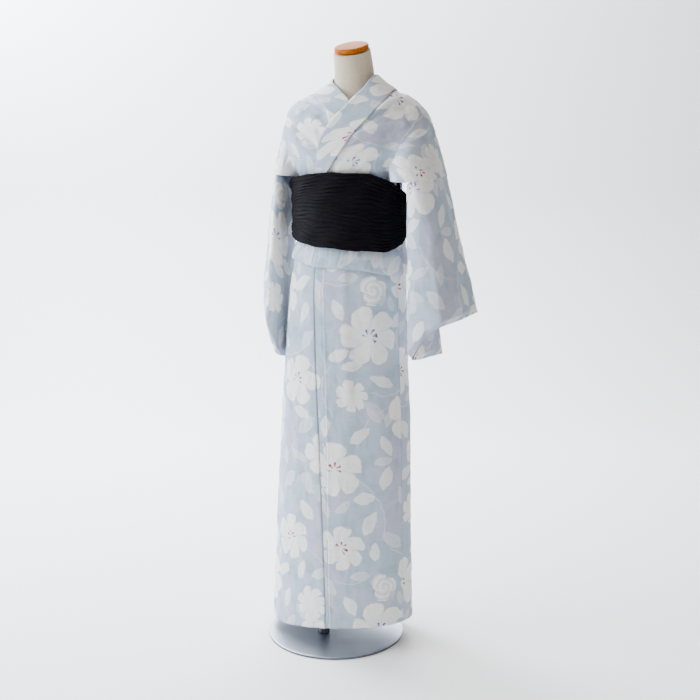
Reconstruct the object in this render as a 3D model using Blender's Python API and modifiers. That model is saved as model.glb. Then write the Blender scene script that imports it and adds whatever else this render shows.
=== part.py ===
"""Cotton yukata on a limbless dress form: the cloth panels, sash, form and stand.

The wearer faces -Y, the wearer's left is +X and +Z is up. The origin is the centre
of the underside of the round base. All lengths are in metres.
"""
import math
from collections import namedtuple

import bmesh
import bpy
import numpy as np

COLLECTION_NAME = "yukata_on_dress_form"

# Cloth and the gaps between its layers
CLOTH = 0.0015            # cotton wall
SASH_CLOTH = 0.0030       # crinkled sash, several gathers thick
SEAM_GAP = 0.0003
CENTRE_GAP = 0.0006       # half the gap of the collar's seam at the nape
COLLAR_CLOTH = 0.0022     # doubled collar band, pressed flat
LAYER = 0.0034            # distance between the middles of two lapped layers
COLLAR_OUT = 0.0039       # collar band above the panel that it is sewn to
FRONT_STEPS = 10          # rows of quads from the shoulder fold to the waist
LAP_SHARE = 0.28          # part of a panel's width over which it rises to lap the next
OVERLAP = {"left": 0.0088, "right": 0.0}     # the wearer's left front laps the right

SASH_OUT = 0.0228         # middle of the sash outside the body rings
GATHERS = 3.0             # the broadest of its gathers, from its top edge to its lower one
GATHER_DEPTH = 0.0012
TOP_FLARE = 0.0045        # its top edge stands away from the chest
FLARE_SHARE = 0.14
KNOT_Z = 1.078
KNOT_OUT = 0.0420
KNOT_HALF_SIZE = (0.040, 0.017, 0.042)

# Where the figure stands over the base
FIGURE_X = 0.034
FIGURE_Y = 0.017

# Heights
SKIRT_TOP_Z = 1.060
TUCK_FOLD_Z = 0.959       # lower fold of the tuck below the sash
TUCK_TOP_Z = 1.070
WAIST_Z = 1.078           # lower end of the bodice, under the sash
TUCKED_IN_Z = 1.172       # where the bodice goes in under the sash
TUCKED_IN_SHARE = 0.80
BODICE_OUT = 0.0045

# Plan angles, from the centre front (-Y) towards the wearer's left (+X), degrees
OKUMI_SEAM = 4.5          # at the hem; it runs back towards the right higher up
OKUMI_SLANT = -23.0       # by how much it has turned at the lower fold of the tuck
OVER_EDGE = -78.0
SIDE_SEAM_LEFT = 77.0
SIDE_SEAM_RIGHT = -88.0
UNDER_SEAM = -6.0
UNDER_EDGE = 52.0
TUCK_SEAM = -19.0
TUCK_EDGE = -72.0

Hem = namedtuple("Hem", "angle z")
HEM = (
    Hem(-180.0, 0.052), Hem(-110.0, 0.030), Hem(-60.0, 0.025), Hem(-22.0, 0.042),
    Hem(0.0, 0.054), Hem(22.0, 0.062), Hem(60.0, 0.070), Hem(110.0, 0.064), Hem(180.0, 0.052),
)
Profile = namedtuple("Profile", "out z")     # section of the tuck, outside the body rings
TUCK_PROFILE = (
    Profile(0.0104, TUCK_TOP_Z), Profile(0.0106, 1.015), Profile(0.0114, 0.985),
    Profile(0.0112, TUCK_FOLD_Z + 0.005), Profile(0.0096, TUCK_FOLD_Z),
    Profile(0.0081, TUCK_FOLD_Z + 0.005), Profile(0.0076, 0.985), Profile(0.0074, 1.020),
)
SashEdge = namedtuple("SashEdge", "angle top low")
SASH_EDGES = (
    SashEdge(-180.0, 1.112, 1.044), SashEdge(-100.0, 1.116, 1.040), SashEdge(-60.0, 1.162, 1.024),
    SashEdge(-30.0, 1.179, 1.014), SashEdge(0.0, 1.185, 1.010), SashEdge(36.0, 1.184, 1.002),
    SashEdge(56.0, 1.168, 1.003), SashEdge(78.0, 1.141, 1.018), SashEdge(100.0, 1.108, 1.045),
    SashEdge(180.0, 1.112, 1.044),
)

# Cut of the sleeve and of the shoulder
NECK_S = 0.108            # neck point, along the shoulder fold from the centre back
ARMHOLE_S = 0.350         # sleeve seam, along the same fold
BACK_NECK_SHARE = 0.25    # how far down the back the neck curve reaches
COLLAR_STAND = {            # from its seam to its free edge beside the neck
    "left": (-0.0500, -0.010, 0.034),
    "right": (-0.0520, -0.014, 0.026),
}
NAPE_Y = 0.108            # its free edge at the centre back
NAPE_Z = 1.414

# Collar on the wearer's front: where its seam and its free edge lie, as a distance
# along the shoulder fold for each share of the way from that fold to the waist.
CollarLine = namedtuple("CollarLine", "share seam_s edge_s edge_share")
COLLAR_LINES = {
    "left": (
        CollarLine(0.00, 0.108, 0.056, 0.00),
        CollarLine(0.12, 0.101, 0.038, 0.08),
        CollarLine(0.24, 0.091, 0.027, 0.17),
        CollarLine(0.36, 0.078, 0.017, 0.29),
        CollarLine(0.48, 0.056, -0.004, 0.41),
        CollarLine(0.62, 0.031, -0.025, 0.56),
        CollarLine(0.72, 0.008, -0.030, 0.69),
        CollarLine(0.80, -0.010, -0.038, 0.80),
        CollarLine(1.00, -0.046, -0.072, 1.00),
    ),
    "right": (
        CollarLine(0.00, 0.108, 0.055, 0.00),
        CollarLine(0.10, 0.092, 0.040, 0.04),
        CollarLine(0.18, 0.070, 0.022, 0.11),
        CollarLine(0.27, 0.044, -0.001, 0.19),
        CollarLine(0.34, 0.026, -0.022, 0.25),
        CollarLine(0.48, 0.006, -0.046, 0.41),
        CollarLine(0.62, -0.010, -0.058, 0.57),
        CollarLine(0.80, -0.027, -0.067, 0.79),
        CollarLine(1.00, -0.046, -0.076, 1.00),
    ),
}

# Wooden cap on the neck
CAP_RADIUS = 0.0415
CAP_THICKNESS = 0.012
CAP_ROUNDING = 0.004
CAP_FORWARD = 0.0045
CAP_MIDDLE_Z = 1.4737

# Stand
BASE_RADIUS = 0.174
BASE_THICKNESS = 0.006
BASE_ROUNDING = 0.0015
SOCKET_RADIUS = 0.0150
SOCKET_TOP_Z = 0.0200
SOCKET_ROUNDING = 0.001
POLE_RADIUS = 0.0095
POLE_X = -0.017
POLE_Y = -0.036

Ring = namedtuple("Ring", "z centre_x half_width half_depth")
BODY_RINGS = (
    Ring(0.000, 0.0125, 0.1900, 0.1260),
    Ring(0.300, 0.0165, 0.1785, 0.1210),
    Ring(0.520, 0.0205, 0.1700, 0.1160),
    Ring(0.700, 0.0230, 0.1600, 0.1110),
    Ring(0.880, 0.0270, 0.1490, 0.1035),
    Ring(0.960, 0.0320, 0.1415, 0.0990),
    Ring(1.015, 0.0340, 0.1255, 0.0905),
    Ring(1.180, 0.0340, 0.1250, 0.0900),
    Ring(1.300, 0.0340, 0.1290, 0.0940),
)

# One row for each length line of a half bodice: distance from the centre back along
# the shoulder fold, the point on that fold, the two handles of the curve that hangs
# from it, and the plan angle where it meets the waist. x is measured from the figure.
Column = namedtuple("Column", "s fold_x fold_y fold_z high_x high_y high_z low_x low_y low_z waist")
CHEST = (
    Column(-0.090, -0.080, 0.048, 1.376, -0.085, -0.050, 1.350, -0.080, -0.110, 1.250, -38.0),
    Column(0.000, 0.000, 0.052, 1.394, 0.000, -0.045, 1.370, 0.000, -0.122, 1.260, -2.0),
    Column(0.108, 0.105, 0.047, 1.374, 0.106, -0.055, 1.346, 0.096, -0.106, 1.250, 40.0),
)
FRONT = {
    "left": CHEST + (
        Column(0.180, 0.172, 0.046, 1.340, 0.174, -0.044, 1.314, 0.140, -0.080, 1.240, 60.0),
        Column(0.205, 0.188, 0.046, 1.318, 0.190, -0.048, 1.292, 0.150, -0.080, 1.230, 64.0),
        Column(0.235, 0.197, 0.047, 1.290, 0.212, -0.075, 1.272, 0.142, -0.100, 1.226, 68.0),
        Column(0.270, 0.208, 0.048, 1.256, 0.246, -0.110, 1.246, 0.132, -0.122, 1.222, 72.0),
        Column(0.350, 0.233, 0.052, 1.181, 0.315, -0.160, 1.170, 0.122, -0.142, 1.160, 80.0),
    ),
    "right": CHEST + (
        Column(0.180, 0.172, 0.046, 1.340, 0.164, -0.036, 1.314, 0.125, -0.085, 1.240, 60.0),
        Column(0.205, 0.186, 0.048, 1.318, 0.168, -0.034, 1.292, 0.126, -0.085, 1.230, 64.0),
        Column(0.235, 0.194, 0.050, 1.290, 0.172, -0.036, 1.270, 0.127, -0.088, 1.224, 68.0),
        Column(0.270, 0.203, 0.053, 1.256, 0.178, -0.040, 1.242, 0.130, -0.092, 1.216, 72.0),
        Column(0.350, 0.223, 0.060, 1.181, 0.192, -0.055, 1.175, 0.134, -0.102, 1.176, 80.0),
    ),
}
UPPER_BACK = (
    Column(0.000, 0.000, 0.052, 1.394, 0.000, 0.122, 1.376, 0.000, 0.134, 1.260, 180.0),
    Column(0.108, 0.105, 0.047, 1.374, 0.106, 0.118, 1.346, 0.104, 0.128, 1.250, 142.0),
    Column(0.180, 0.172, 0.046, 1.340, 0.174, 0.114, 1.314, 0.150, 0.118, 1.230, 120.0),
)
BACK = {
    "left": UPPER_BACK + (
        Column(0.205, 0.188, 0.046, 1.318, 0.190, 0.112, 1.296, 0.156, 0.116, 1.220, 114.0),
        Column(0.235, 0.197, 0.047, 1.290, 0.199, 0.112, 1.270, 0.160, 0.114, 1.210, 109.0),
        Column(0.270, 0.208, 0.048, 1.256, 0.210, 0.116, 1.240, 0.166, 0.112, 1.200, 104.0),
        Column(0.350, 0.233, 0.052, 1.181, 0.222, 0.125, 1.170, 0.176, 0.105, 1.165, 92.0),
    ),
    "right": UPPER_BACK + (
        Column(0.205, 0.186, 0.048, 1.318, 0.190, 0.112, 1.296, 0.156, 0.116, 1.220, 114.0),
        Column(0.235, 0.194, 0.050, 1.290, 0.199, 0.112, 1.270, 0.160, 0.114, 1.210, 109.0),
        Column(0.270, 0.203, 0.053, 1.256, 0.208, 0.116, 1.240, 0.166, 0.112, 1.200, 104.0),
        Column(0.350, 0.223, 0.060, 1.181, 0.218, 0.125, 1.170, 0.176, 0.105, 1.165, 92.0),
    ),
}

# Corners of the hanging sleeve in plan at its lower edge, from the outer fold to the
# inner end, for its outer and inner layer. x is measured from the figure.
SleeveCorner = namedtuple("SleeveCorner", "share x y z")
SLEEVE_OUTER = {
    "left": (
        SleeveCorner(0.00, 0.310, 0.079, 0.853),
        SleeveCorner(0.20, 0.306, -0.010, 0.846),
        SleeveCorner(0.38, 0.280, -0.084, 0.836),
        SleeveCorner(0.52, 0.228, -0.078, 0.796),
        SleeveCorner(0.66, 0.186, -0.056, 0.748),
        SleeveCorner(0.82, 0.188, 0.020, 0.742),
        SleeveCorner(1.00, 0.216, 0.090, 0.742),
    ),
    "right": (
        SleeveCorner(0.00, 0.290, 0.100, 0.880),
        SleeveCorner(0.20, 0.262, 0.040, 0.862),
        SleeveCorner(0.38, 0.219, -0.030, 0.830),
        SleeveCorner(0.52, 0.196, -0.056, 0.780),
        SleeveCorner(0.66, 0.176, -0.050, 0.735),
        SleeveCorner(0.82, 0.176, 0.020, 0.715),
        SleeveCorner(1.00, 0.200, 0.090, 0.715),
    ),
}
SLEEVE_INNER = {
    "left": (
        SleeveCorner(0.00, 0.310, 0.079, 0.853),
        SleeveCorner(0.20, 0.286, 0.000, 0.846),
        SleeveCorner(0.38, 0.262, -0.058, 0.836),
        SleeveCorner(0.52, 0.228, -0.056, 0.796),
        SleeveCorner(0.66, 0.206, -0.034, 0.748),
        SleeveCorner(0.82, 0.210, 0.024, 0.742),
        SleeveCorner(1.00, 0.216, 0.090, 0.742),
    ),
    "right": (
        SleeveCorner(0.00, 0.290, 0.100, 0.880),
        SleeveCorner(0.20, 0.250, 0.056, 0.862),
        SleeveCorner(0.38, 0.216, 0.000, 0.830),
        SleeveCorner(0.52, 0.202, -0.026, 0.780),
        SleeveCorner(0.66, 0.194, -0.024, 0.735),
        SleeveCorner(0.82, 0.196, 0.024, 0.715),
        SleeveCorner(1.00, 0.200, 0.090, 0.715),
    ),
}
SLEEVE_INNER_TOP = (0.176, 0.062, 1.110)     # where both layers meet beside the body
SEAM_SHARE = 0.50         # how far down the armhole line the sleeve is sewn to it
SEAM_REACH = 0.66         # part of the sleeve's width that this seam takes up
SLEEVE_DROP = 0.0026      # sleeve below the armhole line: a wall, a seam gap and some room
SLEEVE_BELLY = 0.10       # the sleeve falls steeply first, then more freely
SLEEVE_ROWS = 6
SLEEVE_STEPS = 12

Turn = namedtuple("Turn", "z x y half_width half_depth")
FORM_RINGS = (
    Turn(0.800, 0.0, 0.000, 0.112, 0.076),
    Turn(0.830, 0.0, 0.000, 0.120, 0.082),
    Turn(0.950, 0.0, 0.000, 0.122, 0.082),
    Turn(1.080, 0.0, 0.000, 0.112, 0.072),
    Turn(1.200, 0.0, 0.002, 0.116, 0.078),
    Turn(1.280, 0.0, 0.008, 0.126, 0.066),
    Turn(1.318, 0.0, 0.012, 0.116, 0.052),
    Turn(1.342, 0.0, 0.018, 0.082, 0.048),
    Turn(1.360, 0.0, 0.022, 0.062, 0.0485),
    Turn(1.385, 0.0, 0.024, 0.052, 0.0475),
    Turn(1.420, 0.0, 0.020, 0.0475, 0.046),
    Turn(1.466, 0.0, 0.007, 0.0440, 0.044),
)
NECK_LEAN = 0.34           # rise over run of the neck's top, which leans forward
LEAN_FROM_Z = 1.400
LEAN_TO_Z = 1.466


# ---------------------------------------------------------------- small mathematics
def smooth(edge_a, edge_b, value):
    """0 before edge_a, 1 after edge_b and an S-curve between."""
    t = np.clip((value - edge_a) / (edge_b - edge_a), 0.0, 1.0)
    return t * t * (3.0 - 2.0 * t)


def curve_through(keys, values, where):
    """Smooth curve through (key, value) pairs that never overshoots them: cubic Hermite
    pieces, each slope the harmonic mean of its neighbours, or level at a turning point."""
    keys = np.asarray(keys, float)
    values = np.asarray(values, float)
    chords = np.diff(values) / np.diff(keys)
    before, after = chords[:-1], chords[1:]
    same_way = before * after > 0.0
    total = np.where(same_way, before + after, 1.0)
    inner = np.where(same_way, 2.0 * before * after / total, 0.0)
    slopes = np.concatenate((chords[:1], inner, chords[-1:]))
    where = np.clip(where, keys[0], keys[-1])
    k = np.clip(np.searchsorted(keys, where, side="right") - 1, 0, len(keys) - 2)
    step = keys[k + 1] - keys[k]
    t = (where - keys[k]) / step
    rise = (2 * t - 3) * t * t
    return (values[k] * (rise + 1) + slopes[k] * step * t * (t - 1) ** 2
            - values[k + 1] * rise + slopes[k + 1] * step * t * t * (t - 1))


def read_table(rows, key, name, where):
    """Column `name` of a table, read smoothly at `where` along column `key`."""
    keys = [getattr(row, key) for row in rows]
    return curve_through(keys, [getattr(row, name) for row in rows], where)


def stack(*parts):
    """Points from their three coordinates, whatever the shapes of these."""
    return np.stack(np.broadcast_arrays(*parts), axis=-1)


# ---------------------------------------------------------------- form of the cloth
def body_ring(angle, z, out=0.0):
    """Point on the wrapped cloth at a plan angle in degrees, moved out by `out`."""
    turn = np.radians(angle)
    fold = drape(angle, z)
    width = read_table(BODY_RINGS, "z", "half_width", z) + out + fold
    depth = read_table(BODY_RINGS, "z", "half_depth", z) + out + fold
    centre = read_table(BODY_RINGS, "z", "centre_x", z)
    return stack(centre + width * np.sin(turn), FIGURE_Y - depth * np.cos(turn), z)


def drape(angle, z):
    """Soft upright folds of the skirt, in metres outward, gone at the sash."""
    turn = np.radians(angle)
    reach = 1.0 - smooth(0.20, 0.95, z)
    wave = 0.6 * np.cos(5.0 * turn + 0.7) + 0.4 * np.cos(8.0 * turn - 1.1)
    return 0.0030 * wave * reach


def around(rows, name, angle):
    """Column `name` of a table by plan angle, the table going once round."""
    wrapped = (np.asarray(angle, float) + 180.0) % 360.0 - 180.0
    return read_table(rows, "angle", name, wrapped)


def hanging_point(columns, s, share, lap=0.0, lift=0.0):
    """Point of a half bodice: `s` along the shoulder fold, `share` 0 at that fold to 1
    at the waist. Each length line is a cubic Bezier curve down to the top of the sash,
    then runs down the body under it. `lap` moves the front away from the body, and not
    at the fold; `lift` moves it off the panel, which is upwards at the fold."""
    def at(name):
        return read_table(columns, "s", name, s)
    share = np.asarray(share)
    fold = stack(at("fold_x") + FIGURE_X, at("fold_y"), at("fold_z"))
    high = stack(at("high_x") + FIGURE_X, at("high_y"), at("high_z"))
    low = stack(at("low_x") + FIGURE_X, at("low_y"), at("low_z"))
    end = body_ring(at("waist"), np.full(np.shape(s), TUCKED_IN_Z), BODICE_OUT)
    t = np.minimum(share / TUCKED_IN_SHARE, 1.0)[..., None]
    point = (fold * (1 - t) ** 3 + 3 * high * t * (1 - t) ** 2
             + 3 * low * t * t * (1 - t) + end * t ** 3)
    under = np.maximum(share - TUCKED_IN_SHARE, 0.0) / (1.0 - TUCKED_IN_SHARE)
    point[..., 2] -= (TUCKED_IN_Z - WAIST_Z) * under
    away = point - np.array((FIGURE_X, FIGURE_Y, 0.0))
    away[..., 2] = 0.0
    away = away / np.maximum(np.linalg.norm(away, axis=-1, keepdims=True), 1e-6)
    lower = smooth(0.0, 0.25, share)[..., None]
    off = away * lower + np.array((0.0, 0.0, 1.0)) * (1.0 - lower)
    off = off / np.linalg.norm(off, axis=-1, keepdims=True)
    return point + away * lower * np.asarray(lap)[..., None] + off * lift


def front_edge(side, share):
    """Inner edge of a front, where the collar is sewn, as a distance along the fold."""
    return read_table(COLLAR_LINES[side], "share", "seam_s", share)


def back_edge(share):
    """Inner edge of a back: the neck curve, then the centre back seam."""
    return NECK_S * np.sqrt(np.clip(1.0 - (share / BACK_NECK_SHARE) ** 2, 0.0, 1.0)) + SEAM_GAP


# ---------------------------------------------------------------- meshes and objects
def material(name, colour, roughness, metallic=0.0):
    """Plain Principled finish of a sub-part."""
    made = bpy.data.materials.new(name)
    made.use_nodes = True
    shader = made.node_tree.nodes["Principled BSDF"]
    shader.inputs["Base Color"].default_value = (*colour, 1.0)
    shader.inputs["Roughness"].default_value = roughness
    shader.inputs["Metallic"].default_value = metallic
    return made


def add_object(name, mesh, finish, collection):
    """Object of a mesh, with its finish and smooth shading."""
    mesh.materials.append(finish)
    mesh.shade_smooth()
    made = bpy.data.objects.new(name, mesh)
    collection.objects.link(made)
    return made


def grid_mesh(name, points, wrap=False):
    """Mesh of quads over a grid of points, joined round its columns if `wrap`."""
    rows, columns = points.shape[:2]
    index = np.arange(rows * columns).reshape(rows, columns)
    if wrap:
        index = np.concatenate((index, index[:, :1]), axis=1)
    quads = np.stack((index[:-1, :-1], index[:-1, 1:], index[1:, 1:], index[1:, :-1]), axis=-1)
    mesh = bpy.data.meshes.new(name)
    mesh.from_pydata(points.reshape(-1, 3).tolist(), [], quads.reshape(-1, 4).tolist())
    mesh.update()
    return mesh


def cloth_panel(name, points, finish, collection, thickness=CLOTH, wrap=False, even=True):
    """Panel of cloth: an open surface thickened both ways from its middle. `even` keeps
    its wall even over bends, and is off for a tube pressed flat, whose folds are sharp."""
    made = add_object(name, grid_mesh(name, points, wrap), finish, collection)
    shell = made.modifiers.new("thickness", "SOLIDIFY")
    shell.thickness = thickness
    shell.offset = 0.0
    shell.use_even_offset = even
    return made


def closed_stack(name, rings, finish, collection):
    """Solid through a stack of closed rings, with a flat face over each end."""
    mesh = grid_mesh(name, rings, wrap=True)
    work = bmesh.new()
    work.from_mesh(mesh)
    ends = [edge for edge in work.edges if edge.is_boundary]
    bmesh.ops.holes_fill(work, edges=ends, sides=0)
    bmesh.ops.recalc_face_normals(work, faces=work.faces)
    work.to_mesh(mesh)
    work.free()
    made = add_object(name, mesh, finish, collection)
    mesh.set_sharp_from_angle(angle=math.radians(40))
    return made


def placed(points, side):
    """Points worked out for the wearer's left, mirrored for the right side."""
    if side == "right":
        points = points.copy()
        points[..., 0] = 2.0 * FIGURE_X - points[..., 0]
    return points


# ---------------------------------------------------------------- skirt and tuck
def skirt_panel(start, end, out_start, out_end, rows=8, columns=8):
    """Panel of the skirt between two plan angles, its layer changing across it."""
    across = np.linspace(0.0, 1.0, columns + 1)
    down = np.linspace(0.0, 1.0, rows + 1)[:, None] ** 1.4
    hem_angle = start(0.0) + (end(0.0) - start(0.0)) * across
    z = SKIRT_TOP_Z + (around(HEM, "z", hem_angle) - SKIRT_TOP_Z) * down
    angle = start(z) + (end(z) - start(z)) * across
    out = out_start + (out_end - out_start) * smooth(0.0, LAP_SHARE, across)
    return body_ring(angle, z, out)


def upright(angle):
    """Edge of a panel that keeps one plan angle all the way up."""
    return lambda z: angle + 0.0 * np.asarray(z)


def slanting(hem_angle):
    """Edge of a panel that turns towards the wearer's right on its way up."""
    return lambda z: hem_angle + OKUMI_SLANT * (np.asarray(z) / TUCK_FOLD_Z) ** 1.5


def build_skirt(finish, collection):
    """Two backs, the under front with its okumi, and the over front with its okumi."""
    gap = 0.15
    panels = (
        ("skirt_back_left", upright(180.0 - gap), upright(SIDE_SEAM_LEFT + gap), 0.0, 0.0, 8),
        ("skirt_back_right", upright(-180.0 + gap), upright(SIDE_SEAM_RIGHT - gap), 0.0, 0.0, 8),
        ("skirt_front_right", upright(SIDE_SEAM_RIGHT + gap), upright(UNDER_SEAM - gap), 0.0, 0.0, 7),
        ("okumi_right", upright(UNDER_SEAM + gap), upright(UNDER_EDGE), 0.0, 0.0, 5),
        ("skirt_front_left", upright(SIDE_SEAM_LEFT - gap), slanting(OKUMI_SEAM + gap), 0.0, LAYER, 8),
        ("okumi_left", slanting(OKUMI_SEAM - gap), upright(OVER_EDGE), LAYER, LAYER, 10),
    )
    for name, start, end, out_start, out_end, columns in panels:
        points = skirt_panel(start, end, out_start, out_end, columns=columns)
        cloth_panel(name, points, finish, collection)


def tuck_panel(start, end, out_start, out_end, columns):
    """Stretch of the waist tuck: down outside, round its lower fold and up inside."""
    across = np.linspace(0.0, 1.0, columns + 1)
    angle = start + (end - start) * across
    z = np.array([row.z for row in TUCK_PROFILE])[:, None]
    z = z + tuck_level(angle) * (1.0 - smooth(0.98, 1.03, z))
    out = np.array([row.out for row in TUCK_PROFILE])[:, None]
    out = out + out_start + (out_end - out_start) * smooth(0.0, LAP_SHARE, across)
    return body_ring(np.broadcast_to(angle, z.shape), z, out)


def tuck_level(angle):
    """The tuck hangs a little higher at the wearer's right and lower at the left."""
    return 0.002 - 0.019 * np.sin(np.radians(angle)) * np.abs(np.sin(np.radians(angle)))


def build_tuck(finish, collection):
    """Tuck of the over front, its okumi, the under front's end and the two backs."""
    gap = 0.2
    panels = (
        ("tuck_back_left", 180.0 - gap, SIDE_SEAM_LEFT + gap, 0.0, 0.0, 8),
        ("tuck_back_right", -180.0 + gap, SIDE_SEAM_RIGHT - gap, 0.0, 0.0, 8),
        ("tuck_front_right", SIDE_SEAM_RIGHT + gap, TUCK_EDGE - gap, 0.0, 0.0, 3),
        ("tuck_front_left", SIDE_SEAM_LEFT - gap, TUCK_SEAM + gap, 0.0, 0.0, 8),
        ("tuck_okumi_left", TUCK_SEAM - gap, TUCK_EDGE + gap, 0.0, 0.0, 6),
    )
    for name, start, end, out_start, out_end, columns in panels:
        points = tuck_panel(start, end, out_start, out_end, columns)
        cloth_panel(name, points, finish, collection, CLOTH)


# ---------------------------------------------------------------- bodice, sleeves, collar
def bodice_half(side):
    """One length of cloth over the shoulder: front waist, fold, back waist."""
    share_front = np.linspace(1.0, 0.0, FRONT_STEPS + 1)[:, None]
    share_back = np.linspace(0.0, 1.0, FRONT_STEPS + 1)[1:, None]
    across = np.linspace(0.0, 1.0, 12)
    inner = front_edge(side, share_front)
    s_front = inner + (ARMHOLE_S - inner) * across
    s_back = back_edge(share_back) + (ARMHOLE_S - back_edge(share_back)) * across
    lap = OVERLAP[side] * (1.0 - smooth(0.09, 0.18, s_front))
    front = hanging_point(FRONT[side], s_front, np.broadcast_to(share_front, s_front.shape), lap)
    back = hanging_point(BACK[side], s_back, np.broadcast_to(share_back, s_back.shape))
    return placed(np.concatenate((front, back), axis=0), side)


def sleeve_side(columns, corners):
    """Outer or inner layer of a sleeve between the armhole line and its lower edge."""
    share = np.linspace(0.0, 1.0, SLEEVE_STEPS + 1)
    along = np.clip(share / SEAM_REACH, 0.0, 1.0) * SEAM_SHARE
    top = hanging_point(columns, np.full(share.shape, ARMHOLE_S), along)
    leave = smooth(0.45, 1.0, share)[:, None]
    top = top * (1.0 - leave) + (np.array(SLEEVE_INNER_TOP) + (FIGURE_X, 0.0, 0.0)) * leave
    top[:, 2] -= SLEEVE_DROP
    low = stack(read_table(corners, "share", "x", share) + FIGURE_X,
                read_table(corners, "share", "y", share),
                read_table(corners, "share", "z", share))
    down = np.linspace(0.0, 1.0, SLEEVE_ROWS + 1)[:, None, None]
    ease = down + SLEEVE_BELLY * np.sin(math.pi * down)
    return top[None] * (1.0 - ease) + low[None] * ease


def sleeve(side):
    """Hanging sleeve as a flattened tube: outer layer, inner end, inner layer, fold."""
    outer = sleeve_side(FRONT[side], SLEEVE_OUTER[side])
    inner = sleeve_side(BACK[side], SLEEVE_INNER[side])
    return placed(np.concatenate((outer, inner[:, -2:0:-1]), axis=1), side)


def collar_half(side):
    """Collar band of one side, from the centre back round the neck and down the front."""
    share = np.linspace(0.0, 1.0, FRONT_STEPS + 1)
    lap = OVERLAP[side] * np.ones_like(share)
    seam = hanging_point(FRONT[side], front_edge(side, share), share, lap, COLLAR_OUT)
    edge = hanging_point(FRONT[side], read_table(COLLAR_LINES[side], "share", "edge_s", share),
                         read_table(COLLAR_LINES[side], "share", "edge_share", share), lap, COLLAR_OUT)
    standing = seam + np.array(COLLAR_STAND[side])
    lie = smooth(0.0, 0.34, share)[:, None]
    edge = edge * lie + standing * (1.0 - lie)
    turn = np.linspace(0.0, 1.0, 8)[:-1] * math.pi / 2.0
    back_share = BACK_NECK_SHARE * np.cos(turn)
    nape_seam = hanging_point(BACK[side], back_edge(back_share), back_share, 0.0 * turn, COLLAR_OUT)
    nape_seam[0, 0] = FIGURE_X + CENTRE_GAP
    nape_edge = nape(edge[0], turn)
    seam = np.concatenate((nape_seam, seam))
    edge = np.concatenate((nape_edge, edge))
    across = np.linspace(0.0, 1.0, 4)[:, None, None]
    return placed(seam * (1.0 - across) + edge * across, side)


def nape(front, turn):
    """Quarter of an oval round the nape, from the centre back to the point `front`."""
    x = FIGURE_X + (front[0] - FIGURE_X) * np.sin(turn)
    x[0] += CENTRE_GAP
    return stack(x, front[1] + (NAPE_Y - front[1]) * np.cos(turn),
                 front[2] + (NAPE_Z - front[2]) * np.cos(turn) ** 2)


def build_bodice(finish, collection):
    """Half bodices, sleeves and collar halves, the wearer's left over the right."""
    for side in ("left", "right"):
        cloth_panel("bodice_" + side, bodice_half(side), finish, collection)
        cloth_panel("sleeve_" + side, sleeve(side), finish, collection, wrap=True, even=False)
        cloth_panel("collar_" + side, collar_half(side), finish, collection, COLLAR_CLOTH)


# ---------------------------------------------------------------- sash
def build_sash(finish, collection):
    """Wrapped sash with a few of its gathers, its knot and one short end."""
    angle = np.linspace(0.0, 360.0, 33)[:-1]
    share = np.linspace(0.0, 1.0, 10)[:, None]
    top = around(SASH_EDGES, "top", angle)
    low = around(SASH_EDGES, "low", angle)
    z = top + (low - top) * share
    gather = GATHER_DEPTH * np.cos(share * GATHERS * 2.0 * math.pi)
    flare = TOP_FLARE * (1.0 - smooth(0.0, FLARE_SHARE, share))
    out = SASH_OUT + gather + flare + 0.0 * angle
    points = body_ring(np.broadcast_to(angle, z.shape), z, out)
    cloth_panel("sash_band", points, finish, collection, SASH_CLOTH, wrap=True)
    knot = bpy.data.meshes.new("sash_knot")
    work = bmesh.new()
    bmesh.ops.create_uvsphere(work, u_segments=16, v_segments=10, radius=1.0)
    place = body_ring(np.array(180.0), np.array(KNOT_Z), KNOT_OUT)
    for vert in work.verts:
        vert.co = place + np.array(vert.co) * np.array(KNOT_HALF_SIZE)
    work.to_mesh(knot)
    work.free()
    add_object("sash_knot", knot, finish, collection)


# ---------------------------------------------------------------- form and stand
def form_rings(steps=28):
    """Rings of the torso and neck, the neck leaning a little forward."""
    turn = np.linspace(0.0, 2.0 * math.pi, steps + 1)[:-1]
    rows = []
    for row in FORM_RINGS:
        lean = NECK_LEAN * smooth(LEAN_FROM_Z, LEAN_TO_Z, row.z)
        y = FIGURE_Y + row.y - row.half_depth * np.cos(turn)
        z = row.z + lean * (y - FIGURE_Y - row.y)
        rows.append(stack(FIGURE_X + row.x + row.half_width * np.sin(turn), y, z))
    return np.array(rows)


def build_form(cloth, wood, collection):
    """Linen-covered torso with its neck, and the turned wooden cap on the neck."""
    closed_stack("form_torso", form_rings(), cloth, collection)
    bpy.ops.mesh.primitive_cylinder_add(vertices=32, radius=CAP_RADIUS, depth=CAP_THICKNESS)
    cap = bpy.context.object
    cap.name = "neck_cap"
    cap.location = (FIGURE_X, FIGURE_Y + CAP_FORWARD, CAP_MIDDLE_Z)
    cap.rotation_euler = (math.atan(NECK_LEAN), 0.0, 0.0)
    bevel = cap.modifiers.new("rounding", "BEVEL")
    bevel.width = CAP_ROUNDING
    bevel.segments = 3
    bevel.limit_method = "ANGLE"
    finish_primitive(cap, wood, collection)


def finish_primitive(made, finish, collection):
    """Give a primitive its name, finish, shading and collection."""
    made.data.name = made.name
    made.data.materials.clear()
    made.data.materials.append(finish)
    made.data.shade_smooth()
    made.data.set_sharp_from_angle(angle=math.radians(40))
    for other in list(made.users_collection):
        other.objects.unlink(made)
    collection.objects.link(made)


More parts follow.
